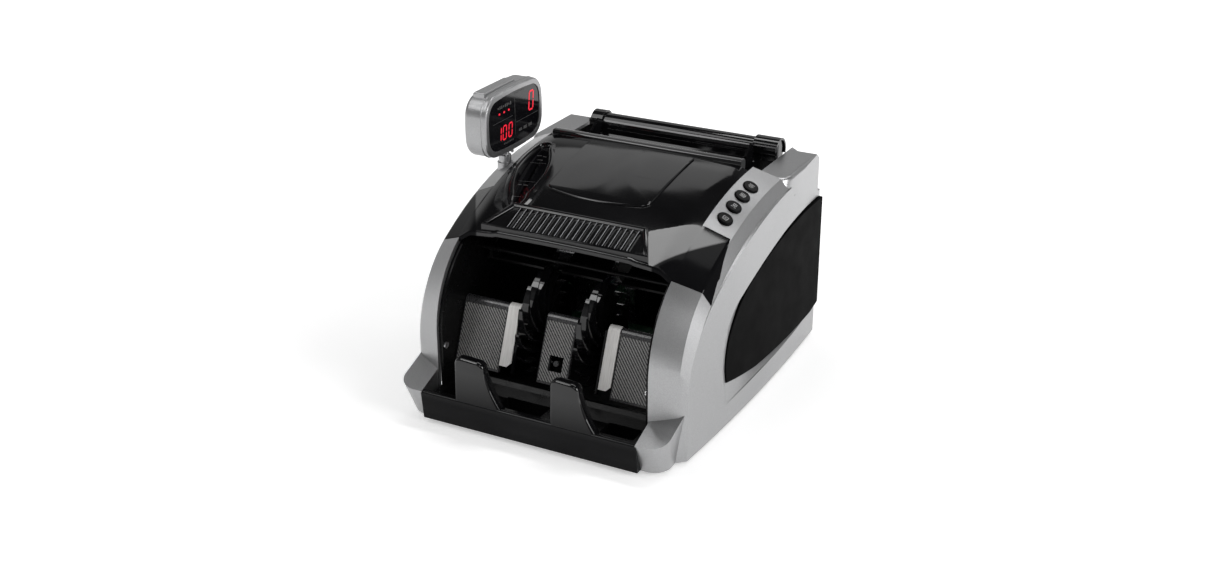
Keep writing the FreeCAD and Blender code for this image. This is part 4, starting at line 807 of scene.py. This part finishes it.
def grille_piece():
    """Visor with a wide rounded rim, smooth cheeks and thin upright slats over a dark slot; light grey strips
    along the slat tops are a painted highlight.
    """
    front = [RIM_FRONT if y < FRONT_Y else 1.0 for x, y in GRILLE]
    loops = [on_grille(inset(GRILLE, [s * f for f in front]), h) for s, h in RIM]
    rim = loft("grille_rim", loops, GLOSS, "grille", around=True)
    bm = bmesh.new()
    slope = Vector((0, 1, GRILLE_SLOPE)).normalized()
    lift = X.cross(slope)
    inner = inset(GRILLE, [SLOT_INSET * f for f in front])
    add_solid(bm, on_grille(inner, SLOT_UNDER), on_grille(inner, SLOT_FLOOR))
    for plan in CHEEKS:
        add_solid(bm, on_grille(plan, SLOT_FLOOR), on_grille(plan, CHEEK_TOP))
    highlight_strips = bmesh.new()
    for k in range(SLAT_COUNT):
        base = Vector(on_grille([(SLAT_START + k * SLAT_PITCH, SLAT_FRONT)], 0)[0])
        add_prism(bm, SLAT_SECTION, slope * SLAT_LONG, base, X, lift)
        add_prism(highlight_strips, HIGHLIGHT_STRIP_SECTION, slope * (SLAT_LONG + 0.1), base, X, lift)
    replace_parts(piece_from(highlight_strips, "grille_painted_highlights", SLAT_PAINTED_HIGHLIGHT, "grille"), "grille")
    slats = piece_from(bm, "grille_slats", GLOSS, "grille")
    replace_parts(rim, "grille")
    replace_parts(slats, "grille")


grille_piece()


# ---------------------------------------------------------------- keys
SIGN_LINE, SIGN_THICK, SIGN_SUNK = 0.42, 0.05, 0.01


def key_frame(index):
    """Top centre of a key in millimetres with its upward normal and the strip's two directions."""
    joint = next(j for j in frame["record"]["behaviour"]["joints"] if j["name"] == "key_%d_press" % index)
    n = -Vector(joint["axis"]).normalized()
    verts = [v.co for v in NODES["button_%d" % index].data.vertices]
    top = max(v.dot(n) for v in verts)
    rim = [v for v in verts if v.dot(n) > top - 0.05 * MM]
    centre = sum(rim, Vector()) / len(rim)
    across = Y.cross(n).normalized()
    return centre / MM, n, across, n.cross(across)


def frame_bars(half_w, half_h, line):
    """Four bars that draw a rectangle's outline, as (x, y, width, height)."""
    return [(0, half_h, 2 * half_w + line, line), (0, -half_h, 2 * half_w + line, line),
            (half_w, 0, line, 2 * half_h), (-half_w, 0, line, 2 * half_h)]


def raised(bars, rise):
    """The bars moved up."""
    return [(x, y + rise, w, h) for x, y, w, h in bars]


def key_icons():
    """Generic printed signs on the keys: outlines and bars, no lettering."""
    line = SIGN_LINE
    small = frame_bars(2.0, 1.3, line)
    signs = [
        small + [(0, 0, 1.4, line), (0, -2.6, 4.4, line)],
        raised(frame_bars(1.3, 1.5, line), 0.8) + [(-1.4, -2.2, 1.8, line), (1.4, -2.2, 1.8, line),
                                                   (0, 0.8, line, 3.0)],
        raised(small, 0.6) + [(-0.7, 0.6, line, 2.2), (0.7, 0.6, line, 2.2), (0, -2.0, 4.6, line)],
        [(0, 1.9, 4.8, line), (0, 0.7, 3.2, line), (0, -0.5, 4.8, line), (0, -1.9, 3.2, line)],
    ]
    for index, bars in enumerate(signs, 1):
        centre, n, across, along = key_frame(index)
        bm = bmesh.new()
        for x, y, w, h in bars:
            add_prism(bm, rectangle(w, h, x, y), n * SIGN_THICK, centre - n * SIGN_SUNK, across, along)
        piece_from(bm, "key_%d_sign" % index, INK, "button_%d" % index)


key_icons()


# ---------------------------------------------------------------- external display
HEAD_LOW, HEAD_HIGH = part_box("head_window")
HEAD_Y, HEAD_Z = [(HEAD_LOW[k] + HEAD_HIGH[k]) / 2 / MM for k in (1, 2)]
FACE_X = HEAD_HIGH[0] / MM
ON_FACE = FACE_X - 0.02                                 # printed and lit marks start this far out
SEGMENTS = {"0": "abcdef", "1": "bc"}
DIGIT_SLANT, DIGIT_GAP, DIGIT_THICK = 0.10, 0.25, 0.12
UPPER_DIGIT = (6.4, 15.2, 1.35)                         # width, height, line
LOWER_DIGIT = (5.0, 11.0, 1.15)
DIGITS = (                                              # glyph, lower left corner, size
    ("0", 22.6, -0.4, UPPER_DIGIT), ("1", -26.2, -13.8, LOWER_DIGIT), ("0", -18.2, -13.8, LOWER_DIGIT),
    ("0", -9.4, -13.8, LOWER_DIGIT),
)
LAMPS, LAMP_Z = (-22.5, -15.4, -8.2), 8.6
LAMP_WIDE, LAMP_HIGH, LAMP_THICK, LAMP_SIDES = 1.2, 0.85, 0.2, 12
DIVIDERS = [(1.2, 0.8, 0.5, 32.5), (-17.4, 2.3, 30, 0.4), (19.6, -4.8, 34, 0.4)]
LABELS = [(9.0, -12.6, 5.0, 2.2), (16.4, -12.6, 5.4, 2.6), (24.2, -12.6, 5.4, 2.6)]


def on_face(bm, shape, thick, y, z):
    """A flat shape on the display's face, y and z from the face's middle."""
    add_prism(bm, shape, X * thick, Vector((ON_FACE, HEAD_Y + y, HEAD_Z + z)), Y, Z)


def digit(bm, glyph, y, z, width, height, line):
    """Seven-segment digit, with its lower left corner at (y, z) from the middle of the face."""
    half, t, gap = height / 2, line / 2, DIGIT_GAP
    places = {
        "a": (0, height, width, height), "b": (width, half, width, height), "c": (width, 0, width, half),
        "d": (0, 0, width, 0), "e": (0, 0, 0, half), "f": (0, half, 0, height),
    }
    for name in SEGMENTS[glyph]:
        y0, z0, y1, z1 = places[name]
        if z0 == z1:
            shape = [(y0 + gap, z0), (y0 + gap + t, z0 + t), (y1 - gap - t, z0 + t), (y1 - gap, z0),
                     (y1 - gap - t, z0 - t), (y0 + gap + t, z0 - t)]
        else:
            shape = [(y0, z0 + gap), (y0 + t, z0 + gap + t), (y0 + t, z1 - gap - t), (y0, z1 - gap),
                     (y0 - t, z1 - gap - t), (y0 - t, z0 + gap + t)]
        on_face(bm, [(a + b * DIGIT_SLANT, b) for a, b in shape], DIGIT_THICK, y, z)


def face_bars(bars, name, material):
    """Printed bars on the display's face, as (y, z, width, height) from its middle."""
    bm = bmesh.new()
    for y, z, w, h in bars:
        on_face(bm, rectangle(w, h), INK_THICK, y, z)
    piece_from(bm, name, material, "head_window")


def external_display():
    """Lit digits, three lamps, thin dividers and plain label bars on the black face."""
    bm = bmesh.new()
    for glyph, y, z, size in DIGITS:
        digit(bm, glyph, y, z, *size)
    piece_from(bm, "lit_digits", RED, "head_window")
    lamps = bmesh.new()
    turns = [math.tau * k / LAMP_SIDES for k in range(LAMP_SIDES)]
    for y in LAMPS:
        outline = [(LAMP_WIDE * math.cos(t), LAMP_HIGH * math.sin(t)) for t in turns]
        on_face(lamps, outline, LAMP_THICK, y, LAMP_Z)
    piece_from(lamps, "lamps", RED, "head_window")
    face_bars(DIVIDERS, "face_dividers", LINE_INK)
    marks = [(-24 + 2.7 * k, 13.6, 1.5, 2.6 if k % 3 else 1.6) for k in range(8)]
    marks += [(2 + 2.2 * k, 19.6, 1.3, 1.5) for k in range(7)]
    marks += [(-16 + 2.2 * k, -17.6, 1.3, 1.5) for k in range(7)]
    face_bars(marks + LABELS, "face_marks", GREY_INK)


external_display()


def section_loop(node, where, normal):
    """The longest closed loop in which a plane cuts a CAD node, in millimetres."""
    bm = welded_copy(node)
    bmesh.ops.bisect_plane(bm, geom=bm.verts[:] + bm.edges[:] + bm.faces[:], plane_co=where, plane_no=normal,
                           clear_inner=True, clear_outer=True)
    best, best_length, seen = [], 0.0, set()
    for first in bm.verts:
        if first in seen:
            continue
        chain, here = [first], first
        seen.add(first)
        while True:
            onward = [e.other_vert(here) for e in here.link_edges if e.other_vert(here) not in seen]
            if not onward:
                break
            here = onward[0]
            seen.add(here)
            chain.append(here)
        length = sum((a.co - b.co).length for a, b in zip(chain, chain[1:]))
        if length > best_length:
            best, best_length = [v.co / MM for v in chain], length
    bm.free()
    return best


BEAD_BEHIND, BEAD_HALF, BEAD_RISE = 4.6, 0.8, 0.5       # behind the face; half its width; its height


def case_bead():
    """A rounded bead that runs round the external display's case."""
    x, half, rise = FACE_X - BEAD_BEHIND, BEAD_HALF, BEAD_RISE
    flat = plan_loop([(p.y, p.z) for p in section_loop("head_case", X * x * MM, X)])
    profile = [
        (-half, 0.4), (-half, 0.0), (-0.7 * half, -0.7 * rise), (0, -rise), (0.7 * half, -0.7 * rise),
        (half, 0.0), (half, 0.4),
    ]
    loops = [[(x + dx, y, z) for y, z in inset(flat, s)] for dx, s in profile]
    loft("case_bead_front", loops, SILVER, "head_case", around=True)


case_bead()


# ---------------------------------------------------------------- stage, light and camera
FLOOR_HALF, FLOOR_CELLS = 6.0, 8
FLOOR_GLOW = (0.45, 1.0, 0.25, 1.1)                     # glow near and far, and where it changes, m
MIDDLE = (0, 0, 0.1)
SOFTBOXES = (                                           # name, place, aim, size in metres, watts
    ("overhead", (0.17, 0.41, 1.45), (0.17, 0.41, 0), (1.36, 0.32), 7.4),
    ("top_left", (-0.70, -0.32, 1.40), MIDDLE, (0.6, 0.5), 2.8),
    ("front_left", (-0.82, -1.05, 1.35), MIDDLE, (0.45, 0.45), 3.6),
    ("behind", (-0.85, 1.20, 1.30), MIDDLE, (1.3, 0.4), 1.2),
    ("right_fill", (1.55, -0.20, 0.75), MIDDLE, (0.8, 0.7), 13.0),
    ("front_fill", (0.62, -1.35, 1.20), MIDDLE, (0.7, 0.5), 2.4),
    ("strip_fill", (0.38, 1.28, 1.30), MIDDLE, (0.6, 0.5), 1.7),
)
SKY_HEIGHT = (0.74, 0.3, 0.0, 1.0)                      # darker overhead than near the horizon
SKY_DEPTH = (-0.9, 0.8, 0.3, 0.5)                       # a little brighter at the back
SKY_LEVEL = (0.0, 1.0, 0.03, 1.0)
CAMERA_AT, CAMERA_AIM = Vector((0.5594, -1.0674, 0.6094)), Vector((0.00217, -0.007, 0.08551))
SENSOR, LENS = 36.0, 47.90


def aimed(name, data, where, aim):
    """A lamp or camera at a place, turned towards a point."""
    thing = bpy.data.objects.new(name, data)
    bpy.context.scene.collection.objects.link(thing)
    thing.location = where
    thing.rotation_mode = "QUATERNION"
    thing.rotation_quaternion = (Vector(aim) - Vector(where)).to_track_quat("-Z", "Y")
    return thing


def plain_floor():
    """Pale matt floor that fades to white away from the machine, by painted light: a glow that is weak near
    the machine and grows with distance.
    """
    bm = bmesh.new()
    bmesh.ops.create_grid(bm, x_segments=FLOOR_CELLS, y_segments=FLOOR_CELLS, size=FLOOR_HALF)
    mesh = bpy.data.meshes.new("floor")
    bm.to_mesh(mesh)
    bm.free()
    floor = bpy.data.objects.new("floor", mesh)
    bpy.context.scene.collection.objects.link(floor)
    m = Maker("floor_paper", (0.86, 0.86, 0.86), 0.9, specular=0.1)
    m.colours(m.noise(3, 2.0), (0.85, 0.85, 0.85), (0.87, 0.87, 0.87))
    away = m.node("VectorMath", operation="LENGTH")
    m.link(m.coords, away.inputs[0])
    m.put("Emission Color", (1, 1, 1, 1))
    m.link(m.spread(away.outputs["Value"], *FLOOR_GLOW), m.shader.inputs["Emission Strength"])
    mesh.materials.append(m.mat)


def softbox(name, where, aim, size, power):
    """A rectangular soft light."""
    light = bpy.data.lights.new(name, "AREA")
    light.shape = "RECTANGLE"
    light.size, light.size_y = size
    light.energy = power
    aimed(name, light, where, aim)


def world_range(nodes, links, value, start, end, low, high):
    """Smooth map of a world direction's component on to a range."""
    made = nodes.new("ShaderNodeMapRange")
    made.interpolation_type = "SMOOTHSTEP"
    for key, number in (("From Min", start), ("From Max", end), ("To Min", low), ("To Max", high)):
        made.inputs[key].default_value = number
    links.new(value, made.inputs["Value"])
    return made.outputs["Result"]


def studio():
    """Soft light: boxes overhead and behind, fills in front and at both sides, and a pale world."""
    world = bpy.data.worlds.new("studio")
    bpy.context.scene.world = world
    world.use_nodes = True
    nodes, links = world.node_tree.nodes, world.node_tree.links
    dim, white = nodes["Background"], nodes.new("ShaderNodeBackground")
    dim.inputs["Strength"].default_value = 1.0
    white.inputs["Color"].default_value = (1, 1, 1, 1)
    coords, split = nodes.new("ShaderNodeTexCoord"), nodes.new("ShaderNodeSeparateXYZ")
    links.new(coords.outputs["Generated"], split.inputs[0])
    both = nodes.new("ShaderNodeMath")
    both.operation = "MULTIPLY"
    links.new(world_range(nodes, links, split.outputs["Z"], *SKY_HEIGHT), both.inputs[0])
    links.new(world_range(nodes, links, split.outputs["Y"], *SKY_DEPTH), both.inputs[1])
    links.new(world_range(nodes, links, both.outputs[0], *SKY_LEVEL), dim.inputs["Color"])
    path, mix = nodes.new("ShaderNodeLightPath"), nodes.new("ShaderNodeMixShader")
    links.new(path.outputs["Is Camera Ray"], mix.inputs["Fac"])
    links.new(dim.outputs[0], mix.inputs[1])
    links.new(white.outputs[0], mix.inputs[2])
    links.new(mix.outputs[0], nodes["World Output"].inputs["Surface"])
    for box in SOFTBOXES:
        softbox(*box)
    bpy.context.scene.view_settings.view_transform = "Standard"


def main_camera():
    """Camera 27.7 degrees round to the right and 23.6 degrees up."""
    data = bpy.data.cameras.new("camera")
    data.sensor_width = SENSOR
    data.lens = LENS
    bpy.context.scene.camera = aimed("camera", data, CAMERA_AT, CAMERA_AIM)


plain_floor()
studio()
main_camera()
